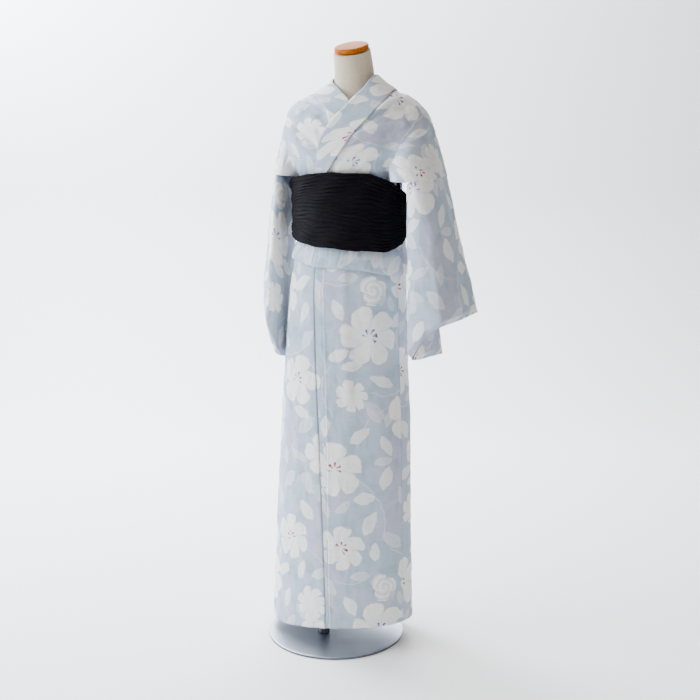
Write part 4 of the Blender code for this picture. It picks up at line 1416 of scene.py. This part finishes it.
@dataclass(frozen=True)
class PrintedCotton:
    """Plain-woven yukata cotton, printed: ragged white flowers on watery blue-grey. It is
    matt, with faint slub lines across, and its colours are soft-edged as dye makes them.

    Attributes:
        tile: Width and height of the repeat; the width is the 38 cm of the bolt.
        wander: How far the drawn edges wander.
        ghost_step: Where the paler second printing lies against the first.
        ghost_strength: How much of it shows.
        blue, lavender, deep: Dyes of the ground, its pools and its blotches.
        petal, petal_line, leaf_light, leaf_middle, stem: Pale colours of the motifs.
        crimson, purple: The two inks.
        flowers, light_leaves, middle_leaves, stems: Motifs of one repeat.
        leaf_slimness: Half width of a leaf over half its length.
        stem_half_width: Half width of a stem.
        slubs_per_metre: Slub lines along the cloth.
        weave_scale: Scale of the thread grain.
    """

    tile: tuple[float, float] = (0.38, 0.74)
    wander: float = 0.015
    ghost_step: tuple[float, float] = (0.155, 0.395)
    ghost_strength: float = 0.42
    blue: str = "#A6B7C6"
    lavender: str = "#B2B5C8"
    deep: str = "#93A4B4"
    petal: str = "#EFEDE8"
    petal_line: str = "#C6CED6"
    leaf_light: str = "#E3E4E2"
    leaf_middle: str = "#CDD3D8"
    stem: str = "#D5DBE0"
    crimson: str = "#8A0B36"
    purple: str = "#6A4A96"

    flowers: tuple[Flower, ...] = (
        Flower(0.140, 0.060, 0.072, 10.0, 6, Ink.PURPLE),
        Flower(0.040, 0.470, 0.069, 40.0, 5, Ink.CRIMSON),
        Flower(0.048, 0.270, 0.058, -15.0, 6, Ink.CRIMSON),
        Flower(0.240, 0.600, 0.064, 25.0, 5, Ink.PURPLE),
        Flower(0.250, 0.195, 0.060, 60.0, 6, Ink.CRIMSON),
        Flower(0.335, 0.425, 0.053, -30.0, 5, Ink.PURPLE),
        Flower(0.330, 0.035, 0.045, 0.0, 8, Ink.PLAIN),
        Flower(0.090, 0.655, 0.040, 20.0, 7, Ink.PLAIN),
        Flower(0.345, 0.690, 0.048, 10.0, 5, Ink.CRIMSON),
        Flower(0.150, 0.172, 0.034, 30.0, 3, Ink.PLAIN),
    )
    light_leaves: tuple[Leaf, ...] = (
        Leaf(0.222, 0.098, 0.032, 35.0, 1.0), Leaf(0.066, 0.122, 0.029, 120.0, 1.1),
        Leaf(0.062, 0.012, 0.031, 205.0, 1.0), Leaf(0.120, 0.335, 0.035, 62.0, 1.0),
        Leaf(0.110, 0.400, 0.028, 12.0, 1.1), Leaf(0.165, 0.450, 0.032, 72.0, 1.0),
        Leaf(0.170, 0.530, 0.029, 118.0, 0.9), Leaf(0.105, 0.556, 0.032, 38.0, 1.0),
        Leaf(0.300, 0.275, 0.032, 140.0, 1.0), Leaf(0.293, 0.118, 0.028, 78.0, 0.9),
        Leaf(0.322, 0.560, 0.034, 100.0, 1.0), Leaf(0.165, 0.690, 0.031, -25.0, 1.0),
        Leaf(0.020, 0.575, 0.029, 80.0, 0.9), Leaf(0.262, 0.520, 0.030, -15.0, 1.0),
        Leaf(0.095, 0.728, 0.028, 15.0, 1.0), Leaf(0.245, 0.028, 0.028, 75.0, 1.0),
        Leaf(0.130, 0.262, 0.026, 85.0, 1.1), Leaf(0.340, 0.500, 0.024, 20.0, 1.0),
    )
    middle_leaves: tuple[Leaf, ...] = (
        Leaf(0.180, 0.290, 0.035, -38.0, 1.0), Leaf(0.232, 0.345, 0.031, 52.0, 1.0),
        Leaf(0.262, 0.410, 0.031, -20.0, 0.8), Leaf(0.280, 0.490, 0.035, 42.0, 1.0),
        Leaf(0.208, 0.400, 0.026, 100.0, 1.0), Leaf(0.090, 0.200, 0.026, 10.0, 1.0),
        Leaf(0.197, 0.135, 0.020, -70.0, 1.0), Leaf(0.348, 0.325, 0.027, 62.0, 1.1),
        Leaf(0.366, 0.200, 0.031, 95.0, 1.0), Leaf(0.352, 0.120, 0.029, 30.0, 1.0),
        Leaf(0.010, 0.370, 0.028, 110.0, 1.0), Leaf(0.012, 0.170, 0.029, -60.0, 1.0),
        Leaf(0.262, 0.702, 0.029, 60.0, 1.0), Leaf(0.140, 0.608, 0.025, -50.0, 0.9),
        Leaf(0.368, 0.610, 0.024, -30.0, 1.0), Leaf(0.300, 0.345, 0.026, 95.0, 1.0),
        Leaf(0.055, 0.375, 0.026, 40.0, 1.0), Leaf(0.180, 0.600, 0.026, 65.0, 1.0),
        Leaf(0.300, 0.745, 0.026, -40.0, 1.0), Leaf(0.160, 0.492, 0.024, 5.0, 1.0),
    )
    stems: tuple[Stem, ...] = (
        Stem(0.150, 0.380, 200.0, 0.13, 0.080), Stem(0.235, 0.430, 150.0, 0.10, 0.070),
        Stem(0.300, 0.345, 30.0, 0.12, 0.065), Stem(0.125, 0.590, 320.0, 0.10, 0.060),
        Stem(0.300, 0.630, 60.0, 0.09, 0.055), Stem(0.075, 0.180, 100.0, 0.08, 0.050),
        Stem(0.320, 0.170, 250.0, 0.10, 0.070), Stem(0.215, 0.040, 10.0, 0.09, 0.060),
        Stem(0.200, 0.655, 100.0, 0.10, 0.060), Stem(0.015, 0.665, 0.0, 0.08, 0.060),
        Stem(0.200, 0.250, 60.0, 0.12, 0.060),
    )
    leaf_slimness: float = 0.46
    stem_half_width: float = 0.0011
    slubs_per_metre: float = 420.0      # real threads are 0.5 mm apart; every few show
    weave_scale: float = 900.0

    def near(self, w: Wiring, place: Socket, u: float, v: float) -> Socket:
        """Place on the cloth, moved by whole repeats to be as near (u, v) as it can be."""
        half_u, half_v = self.tile[0] / 2.0, self.tile[1] / 2.0
        return w.add("VectorMath", place, (u + half_u, v + half_v, 1.0), (u - half_u, v - half_v, -1.0),
                     operation="WRAP")

    def draw_flowers(self, w: Wiring, place: Socket) -> tuple:
        """Flowers, drawn by their distance and direction from their own centre.

        Args:
            w: The material's wiring.
            place: Ragged place on the cloth.

        Returns:
            Coverage, petal tone from 0 in the folds to 1, ink coverage and ink kind. A
            petal's edge is 1 - 0.40 (1 - |cos(petals angle / 2)|) ^ 2.4 radii out.
        """
        local = (0.0, 0.0, 0.0)
        petals = 0.0
        kind = 0.0
        for flower in self.flowers:
            near = self.near(w, place, flower.u, flower.v)
            own = w.add("Mapping", near, (flower.u, flower.v, 0.0), (0.0, 0.0, math.radians(flower.turn)),
                        (flower.radius, flower.radius, 1.0), vector_type="TEXTURE")
            reach = w.add("VectorMath", own, operation="LENGTH", out=1)
            inside = w.add("Math", reach, 1.10, operation="LESS_THAN")
            local = w.add("VectorMath", own, inside, local, operation="MULTIPLY_ADD")
            petals = w.add("Math", inside, float(flower.petals), petals, operation="MULTIPLY_ADD")
            kind = w.add("Math", inside, flower.ink.value, kind, operation="MULTIPLY_ADD")
        parts = w.add("SeparateXYZ", local)
        x, y = parts, parts.node.outputs[1]
        angle = w.add("Math", y, x, operation="ARCTAN2")
        reach = w.add("VectorMath", local, operation="LENGTH", out=1)
        uneven = w.add("Math", w.add("Math", angle, 0.9, operation="ADD"), operation="SINE")
        angle = w.add("Math", uneven, 0.16, angle, operation="MULTIPLY_ADD")
        swirl = w.add("Math", reach, 0.35, angle, operation="MULTIPLY_ADD")
        half_count = w.add("Math", petals, 0.5, operation="MULTIPLY")
        phase = w.add("Math", swirl, half_count, operation="MULTIPLY")
        crest = w.add("Math", w.add("Math", phase, operation="COSINE"), operation="ABSOLUTE")
        valley = w.add("Math", 1.0, crest, operation="SUBTRACT")
        notch = w.add("Math", valley, 2.4, operation="POWER")
        edge = w.add("Math", notch, -0.40, 1.0, operation="MULTIPLY_ADD")
        room = w.add("Math", edge, reach, operation="SUBTRACT")
        any_flower = w.add("Math", petals, 0.5, operation="GREATER_THAN")
        shape = w.add("MapRange", room, -0.02, 0.05, **SOFT)
        cover = w.add("Math", shape, any_flower, operation="MULTIPLY")
        fold = w.add("MapRange", crest, 0.0, 0.30, 0.35, 1.0, **SOFT)
        far = w.add("MapRange", reach, 0.15, 0.60, 0.75, 0.0, **SOFT)
        fold = w.add("Math", fold, far, operation="MAXIMUM")
        veins = w.add("Math", w.add("Math", phase, 7.0, operation="MULTIPLY"), operation="COSINE")
        veins = w.add("MapRange", veins, -1.0, 1.0, 0.86, 1.0)
        rim = w.add("MapRange", room, 0.05, 0.22, 1.0, 0.86, **SOFT)
        tone = w.add("Math", w.add("Math", fold, veins, operation="MULTIPLY"), rim, operation="MULTIPLY")
        rings = w.add("Math", reach, 15.0, phase, operation="MULTIPLY_ADD")
        rings = w.add("MapRange", w.add("Math", rings, operation="SINE"), -0.3, 0.5, 0.25, 1.0)
        is_rose = w.add("Math", petals, 3.5, operation="LESS_THAN")
        tone = w.add("Mix", is_rose, None, tone, rings)
        return cover, tone, self.draw_stamens(w, reach, angle, any_flower), kind

    def draw_stamens(self, w: Wiring, reach: Socket, angle: Socket,
                     any_flower: Socket) -> Socket:
        """Ink at a flower's centre: a fan of short bent strokes over two thirds of a turn,
        heavier at their ends, whose edges bleed into the petals."""
        bent = w.add("Math", reach, 5.0, w.add("Math", angle, 7.0, operation="MULTIPLY"),
                     operation="MULTIPLY_ADD")
        strokes = w.add("MapRange", w.add("Math", bent, operation="SINE"), 0.05, 0.60)
        fan = w.add("MapRange", w.add("Math", w.add("Math", angle, 0.7, operation="ADD"), operation="SINE"),
                    -0.45, -0.25)
        ends = w.add("MapRange", reach, 0.10, 0.24, 0.55, 1.0)
        ink = w.add("Math", w.add("Math", strokes, fan, operation="MULTIPLY"), ends, operation="MULTIPLY")
        band = w.add("Math", reach, 0.175, 0.095, operation="COMPARE")
        ink = w.add("Math", ink, band, operation="MULTIPLY")
        return w.add("Math", ink, any_flower, operation="MULTIPLY")

    def draw_leaves(self, w: Wiring, place: Socket, leaves: tuple[Leaf, ...]) -> tuple:
        """Leaves, each the overlap of two circles.

        Args:
            w: The material's wiring.
            place: Ragged place on the cloth.
            leaves: Which leaves.

        Returns:
            Coverage, and how near the rim, from 0 inside to 0.3 at the rim. The circles'
            centres lie c off the leaf's line, so the radius less the greater of the two
            distances is above 0 inside.
        """
        width = self.leaf_slimness
        off = (1.0 - width * width) / (2.0 * width)
        nearest = 10.0
        for leaf in leaves:
            near = self.near(w, place, leaf.u, leaf.v)
            own = w.add("Mapping", near, (leaf.u, leaf.v, 0.0), (0.0, 0.0, math.radians(leaf.turn)),
                        (leaf.half, leaf.half * leaf.breadth, 1.0), vector_type="TEXTURE")
            own = w.add("VectorMath", own, operation="ABSOLUTE")
            away = w.add("VectorMath", own, (0.0, -off, 0.0), operation="DISTANCE", out=1)
            nearest = w.add("Math", away, nearest, operation="MINIMUM")
        room = w.add("Math", width + off, nearest, operation="SUBTRACT")
        cover = w.add("MapRange", room, -0.03, 0.05, **SOFT)
        rim = w.add("MapRange", room, 0.06, 0.22, 0.3, 0.0, **SOFT)
        return cover, rim

    def draw_stems(self, w: Wiring, place: Socket) -> Socket:
        """Coverage of the stems: arcs, each where the distance from its circle is under
        its half width and the distance from its middle under half its length."""
        nearest = 10.0
        for stem in self.stems:
            facing = math.radians(stem.facing)
            centre = (stem.u + stem.bend * math.cos(facing), stem.v + stem.bend * math.sin(facing), 0.0)
            near = self.near(w, place, stem.u, stem.v)
            away = w.add("VectorMath", near, centre, operation="DISTANCE", out=1)
            away = w.add("Math", away, 1.0 / self.stem_half_width, -stem.bend / self.stem_half_width,
                         operation="MULTIPLY_ADD")
            away = w.add("Math", away, operation="ABSOLUTE")
            along = w.add("VectorMath", near, (stem.u, stem.v, 0.0), operation="DISTANCE", out=1)
            along = w.add("Math", along, 1.0 / stem.half, operation="MULTIPLY")
            both = w.add("Math", away, along, operation="MAXIMUM")
            nearest = w.add("Math", both, nearest, operation="MINIMUM")
        return w.add("MapRange", nearest, 0.7, 1.3, 0.75, 0.0, **SOFT)

    def dye_ground(self, w: Wiring, cloth: Socket, place: Socket) -> tuple[Socket, Socket]:
        """Watery ground under the print.

        Args:
            w: The material's wiring.
            cloth: Place on the cloth.
            place: Ragged place on the cloth.

        Returns:
            Its colour, which is blue with pools of lavender, deeper blotches and the paler
            second printing, and the blotches alone.
        """
        pools = w.add("TexNoise", {"Vector": cloth, "Scale": 7.0, "Detail": 2.0})
        blotch = w.add("TexNoise", {"Vector": cloth, "Scale": 26.0, "Detail": 3.0})
        to_lavender = w.add("MapRange", pools, 0.42, 0.62, **SOFT)
        to_deep = w.add("MapRange", blotch, 0.45, 0.75, 0.0, 0.8, **SOFT)
        ground = w.add("Mix", {0: to_lavender, 6: linear(self.blue), 7: linear(self.lavender)}, **COLOURS)
        ground = w.add("Mix", {0: to_deep, 6: ground, 7: linear(self.deep)}, **COLOURS)
        ghost_place = w.add("VectorMath", place, (*self.ghost_step, 0.0), operation="ADD")
        ghost, _ = self.draw_leaves(w, ghost_place, self.light_leaves[::2])
        patchy = w.add("MapRange", blotch, 0.35, 0.60, 0.25, 1.0)
        ghost = w.add("Math", w.add("Math", ghost, patchy, operation="MULTIPLY"), self.ghost_strength,
                      operation="MULTIPLY")
        ground = w.add("Mix", {0: ghost, 6: ground, 7: linear(self.leaf_light)}, **COLOURS)
        return ground, blotch

    def material(self) -> Material:
        """Wire the print, from the dyed ground up to the inked stamens, and the weave."""
        w = Wiring("printed_cotton")
        cloth = w.add("UVMap", uv_map=CLOTH_MAP)
        ragged = w.add("TexNoise", {"Vector": cloth, "Scale": 42.0, "Detail": 4.0}, out=1)
        ragged = w.add("VectorMath", ragged, (0.5, 0.5, 0.5), operation="SUBTRACT")
        place = w.add("VectorMath", ragged, (self.wander, self.wander, 0.0), cloth, operation="MULTIPLY_ADD")
        ground, blotch = self.dye_ground(w, cloth, place)
        stems = self.draw_stems(w, place)
        colour = w.add("Mix", {0: stems, 6: ground, 7: linear(self.stem)}, **COLOURS)
        for leaves, tint, strength in ((self.middle_leaves, self.leaf_middle, 0.85),
                                       (self.light_leaves, self.leaf_light, 0.95)):
            cover, rim = self.draw_leaves(w, place, leaves)
            inner = w.add("Mix", {0: 0.12, 6: linear(tint), 7: ground}, **COLOURS)
            leaf = w.add("Mix", {0: rim, 6: inner, 7: linear(self.leaf_light)}, **COLOURS)
            cover = w.add("Math", cover, strength, operation="MULTIPLY")
            colour = w.add("Mix", {0: cover, 6: colour, 7: leaf}, **COLOURS)
        cover, tone, ink, kind = self.draw_flowers(w, place)
        watery = w.add("MapRange", blotch, 0.40, 0.72, 1.0, 0.72, **SOFT)
        tone = w.add("Math", tone, watery, operation="MULTIPLY")
        petal = w.add("Mix", {0: tone, 6: linear(self.petal_line), 7: linear(self.petal)}, **COLOURS)
        colour = w.add("Mix", {0: cover, 6: colour, 7: petal}, **COLOURS)
        dye = w.add("Mix", {0: kind, 6: linear(self.crimson), 7: linear(self.purple)}, **COLOURS)
        inked = w.add("Math", ink, w.add("Math", kind, 1.5, operation="LESS_THAN"), operation="MULTIPLY")
        colour = w.add("Mix", {0: inked, 6: colour, 7: dye}, **COLOURS)
        return self.weave(w, cloth, colour)

    def weave(self, w: Wiring, cloth: Socket, colour: Socket) -> Material:
        """Add slub lines, in the colour and the bump, and the grain of the threads."""
        lines = w.add("Mapping", cloth, None, None, (18.0, self.slubs_per_metre, 1.0))
        slubs = w.add("TexNoise", {"Vector": lines, "Scale": 1.0, "Detail": 2.0})
        grain = w.add("TexNoise", {"Vector": cloth, "Scale": self.weave_scale, "Detail": 1.0})
        light = w.add("MapRange", slubs, 0.3, 0.7, 0.93, 1.05)
        colour = w.add("VectorMath", colour, light, operation="MULTIPLY")
        relief = w.add("Math", grain, 0.5, slubs, operation="MULTIPLY_ADD")
        bump = w.add("Bump", {"Strength": 0.35, "Distance": 0.0005, "Height": relief})
        return w.finish({"Base Color": colour, "Normal": bump}, Roughness=0.88,
                        Specular_IOR_Level=0.10, Sheen_Weight=0.03, Sheen_Roughness=0.5)


@dataclass(frozen=True)
class CrinkledCotton:
    """Black crinkled cotton of the sash: matt, with a faint nap; the ridges of its fine crinkles carry a
    little painted highlight.
    """

    dark: str = "#030206"
    # lighter black, painted on the crinkle ridges as a highlight
    painted_ridge_highlight: str = "#0D0A12"

    def material(self) -> Material:
        """Wire the crinkles, which run with the sash, the painted highlight on their ridges, and the nap."""
        w = Wiring("black_crinkled_cotton")
        cloth = w.add("UVMap", uv_map=CLOTH_MAP)
        lines = w.add("Mapping", cloth, None, None, (25.0, 240.0, 1.0))
        crinkle = w.add("TexNoise", {"Vector": lines, "Scale": 1.0, "Detail": 4.0})
        grain = w.add("TexNoise", {"Vector": cloth, "Scale": 900.0, "Detail": 1.0})
        # Painted highlight: the colour goes from the black towards the lighter black where the crinkle
        # relief is high.
        share = w.add("MapRange", crinkle, 0.35, 0.75)
        colour = w.add("Mix", {0: share, 6: linear(self.dark), 7: linear(self.painted_ridge_highlight)}, **COLOURS)
        relief = w.add("Math", grain, 0.25, crinkle, operation="MULTIPLY_ADD")
        bump = w.add("Bump", {"Strength": 0.4, "Distance": 0.0012, "Height": relief})
        return w.finish({"Base Color": colour, "Normal": bump}, Roughness=0.66,
                        Specular_IOR_Level=0.06, Sheen_Weight=0.004, Sheen_Roughness=0.4)


@dataclass(frozen=True)
class LinenCover:
    """Natural linen stretched over the form: plain weave, threads 0.8 mm apart, matt."""

    pale: str = "#DACDB6"
    dark: str = "#A8987B"
    threads_per_metre: float = 1250.0

    def material(self) -> Material:
        """Wire the two crossing threads and their uneven thickness."""
        w = Wiring("linen_cover")
        cloth = w.add("UVMap", uv_map=CLOTH_MAP)
        parts = w.add("SeparateXYZ", cloth)
        pace = math.pi * self.threads_per_metre
        uneven = w.add("TexNoise", {"Vector": cloth, "Scale": 160.0, "Detail": 2.0})
        waves = []
        for part in (parts, parts.node.outputs[1]):
            phase = w.add("Math", part, pace, w.add("Math", uneven, 5.0, operation="MULTIPLY"),
                          operation="MULTIPLY_ADD")
            waves.append(w.add("Math", phase, operation="SINE"))
        weave = w.add("Math", waves[0], waves[1], operation="MULTIPLY")
        share = w.add("MapRange", weave, -1.0, 1.0)
        share = w.add("Math", share, uneven, operation="MULTIPLY")
        colour = w.add("Mix", {0: share, 6: linear(self.pale), 7: linear(self.dark)}, **COLOURS)
        bump = w.add("Bump", {"Strength": 0.5, "Distance": 0.0006, "Height": weave})
        return w.finish({"Base Color": colour, "Normal": bump}, Roughness=0.92,
                        Specular_IOR_Level=0.25, Sheen_Weight=0.1)


@dataclass(frozen=True)
class VarnishedWood:
    """Turned beech, stained golden brown under a satin varnish; the grain runs across it."""

    light: str = "#C06A10"
    dark: str = "#8C4606"

    def material(self) -> Material:
        """Wire grain lines 3 mm apart, bent by the wood's growth."""
        w = Wiring("varnished_wood")
        place = w.add("TexCoord", out=3)
        along = w.add("Mapping", place, None, (0.0, 0.0, math.radians(12.0)), (12.0, 330.0, 120.0))
        grain = w.add("TexNoise", {"Vector": along, "Scale": 1.0, "Detail": 4.0, "Roughness": 0.6})
        share = w.add("MapRange", grain, 0.32, 0.68)
        colour = w.add("Mix", {0: share, 6: linear(self.light), 7: linear(self.dark)}, **COLOURS)
        bump = w.add("Bump", {"Strength": 0.15, "Distance": 0.0003, "Height": grain})
        rough = w.add("MapRange", grain, 0.0, 1.0, 0.46, 0.58)
        return w.finish({"Base Color": colour, "Normal": bump, "Roughness": rough},
                        Specular_IOR_Level=0.04)


@dataclass(frozen=True)
class PolishedSteel:
    """Polished steel plate and tube: even grey, faint wipe marks in its gloss, and painted shade on the
    faces that do not face up.
    """

    grey: str = "#CBD2DB"
    worn: str = "#B4BCC6"
    # dark grey, painted as shade on the faces that do not face up
    edge: str = "#565C64"

    def material(self) -> Material:
        """Wire the wipe marks, a few centimetres long, and the painted shade on faces that lean away from
        straight up.
        """
        w = Wiring("polished_steel")
        place = w.add("TexCoord", out=3)
        marks = w.add("TexNoise", {"Vector": place, "Scale": 24.0, "Detail": 5.0})
        rough = w.add("MapRange", marks, 0.25, 0.75, 0.28, 0.38)
        fine = w.add("TexNoise", {"Vector": place, "Scale": 600.0, "Detail": 1.0})
        share = w.add("MapRange", fine, 0.2, 0.8, 0.0, 0.12)
        colour = w.add("Mix", {0: share, 6: linear(self.grey), 7: linear(self.worn)}, **COLOURS)
        # Painted shade: the plate's rims, the sides of the socket and pole and all lower faces, whose
        # normals lean away from straight up, go to the dark grey.
        upright = w.add("SeparateXYZ", w.add("NewGeometry", out=1), out=2)
        top = w.add("MapRange", upright, 0.35, 0.85)
        colour = w.add("Mix", {0: top, 6: linear(self.edge), 7: colour}, **COLOURS)
        return w.finish({"Base Color": colour, "Roughness": rough}, Metallic=0.9)


@dataclass(frozen=True)
class StudioPaper:
    """Seamless studio paper: matt, nearly white, a little cool."""

    white: str = "#FCFCFD"

    def material(self) -> Material:
        """Wire the paper's faint tooth."""
        w = Wiring("studio_paper")
        tooth = w.add("TexNoise", {"Vector": w.add("TexCoord", out=3), "Scale": 300.0})
        bump = w.add("Bump", {"Strength": 0.02, "Distance": 0.0005, "Height": tooth})
        return w.finish({"Normal": bump}, Base_Color=linear(self.white), Roughness=0.9)


# --------------------------------------------------------------------------- the studio
class Softbox(NamedTuple):
    """Area light: where it hangs, what it faces, its sides, power and colour."""

    name: str
    place: tuple[float, float, float]
    faces: tuple[float, float, float]
    width: float
    height: float
    watts: float
    colour: str


@dataclass(frozen=True)
class Studio:
    """Paper sweep, soft lights and the camera.

    Attributes:
        azimuth: Camera's plan angle from the front towards the wearer's left, degrees.
        distance: Its level distance from the axis that it faces.
        height: Its height above the floor.
        pitch: How far it looks down, degrees.
        aside: How far its target lies to its right of the origin.
        lens: Focal length for a 36 mm sensor.
        sky, sky_strength: Colour and strength of the light from all round.
        lights: The softboxes.
    """

    azimuth: float = 26.0
    distance: float = 2.81
    height: float = 1.291
    pitch: float = 11.0
    aside: float = 0.0366
    lens: float = 59.14
    sky: str = "#F9F0E2"
    sky_strength: float = 0.38
    lights: tuple[Softbox, ...] = (
        Softbox("window", (-2.6, -1.3, 1.8), (0.0, 0.0, 0.9), 2.2, 2.6, 205.0, "#EEF4FF"),
        Softbox("ceiling", (-0.3, -1.9, 3.4), (0.0, 0.0, 0.5), 2.6, 2.0, 62.0, "#FFFFFF"),
        Softbox("backdrop_wash", (-2.6, 1.2, 2.8), (-0.2, 3.0, 0.8), 2.4, 2.0, 440.0, "#F2F6FF"),
        Softbox("floor_wash", (-0.7, 2.7, 2.8), (0.6, 1.0, 0.0), 2.0, 1.2, 210.0, "#FFFFFF"),
    )

    def build_sweep(self) -> None:
        """Make the paper sweep: floor, a quarter circle of 1 m radius, then the wall, all
        turned to face the camera."""
        turn = np.linspace(0.0, math.pi / 2.0, 25)
        radius = 1.0
        corner = 1.7
        away = np.concatenate(([-5.0, 0.0], corner + radius * np.sin(turn), [corner + radius]))
        up = np.concatenate(([0.0, 0.0], radius * (1.0 - np.cos(turn)), [5.0]))
        side = np.linspace(-6.0, 6.0, 9)[:, None]
        turned_by = math.radians(self.azimuth)
        x = side * math.cos(turned_by) - away * math.sin(turned_by)
        y = side * math.sin(turned_by) + away * math.cos(turned_by)
        points = stack(x, y, up + 0.0 * side)
        quads, _ = grid_faces(*points.shape[:2], False)
        mesh = bpy.data.meshes.new("paper_sweep")
        mesh.from_pydata(points.reshape(-1, 3).tolist(), [], quads.tolist())
        mesh.materials.append(StudioPaper().material())
        mesh.shade_smooth()
        if mesh.polygons[0].normal.z < 0.0:
            mesh.flip_normals()
        made = bpy.data.objects.new("paper_sweep", mesh)
        bpy.context.scene.collection.objects.link(made)

    def build_lights(self) -> None:
        """Hang the softboxes and set the sky."""
        for box in self.lights:
            light = bpy.data.lights.new(box.name, "AREA")
            light.shape = "RECTANGLE"
            light.size, light.size_y = box.width, box.height
            light.energy = box.watts
            light.color = linear(box.colour)[:3]
            made = bpy.data.objects.new(box.name, light)
            made.location = box.place
            aim = Vector(box.faces) - Vector(box.place)
            made.rotation_euler = aim.to_track_quat("-Z", "Y").to_euler()
            bpy.context.scene.collection.objects.link(made)
        world = bpy.data.worlds.new("studio_sky")
        world.use_nodes = True
        sky = world.node_tree.nodes["Background"]
        sky.inputs["Color"].default_value = linear(self.sky)
        sky.inputs["Strength"].default_value = self.sky_strength
        bpy.context.scene.world = world

    def build_camera(self) -> None:
        """Set the camera on its plan angle, looking down by its pitch."""
        turn = math.radians(self.azimuth)
        target = Vector((self.aside * math.cos(turn), self.aside * math.sin(turn), 0.0))
        back = Vector((math.sin(turn), -math.cos(turn), 0.0))
        place = target + back * self.distance + Vector((0.0, 0.0, self.height))
        lens = bpy.data.cameras.new("camera")
        lens.lens = self.lens
        lens.sensor_width = 36.0
        made = bpy.data.objects.new("camera", lens)
        made.location = place
        aim = -back - Vector((0.0, 0.0, math.tan(math.radians(self.pitch))))
        made.rotation_euler = aim.to_track_quat("-Z", "Y").to_euler()
        bpy.context.scene.collection.objects.link(made)
        bpy.context.scene.camera = made

    def build(self) -> None:
        """Set up the whole studio."""
        self.build_sweep()
        self.build_lights()
        self.build_camera()


def main() -> None:
    """Build the studio and every piece."""
    logging.basicConfig(level=logging.INFO, format="%(name)s: %(message)s")
    Studio().build()
    cotton = PrintedCotton().material()
    crinkled = CrinkledCotton().material()
    Skirt().build(cotton)
    Tuck().build(cotton)
    for side in Side:
        Bodice(side).build(cotton)
    sash = Sash()
    sash.build_band(crinkled)
    sash.build_knot(crinkled)
    DressForm().build(LinenCover().material(), VarnishedWood().material())
    Stand().build(PolishedSteel().material())


if __name__ == "__main__":
    main()
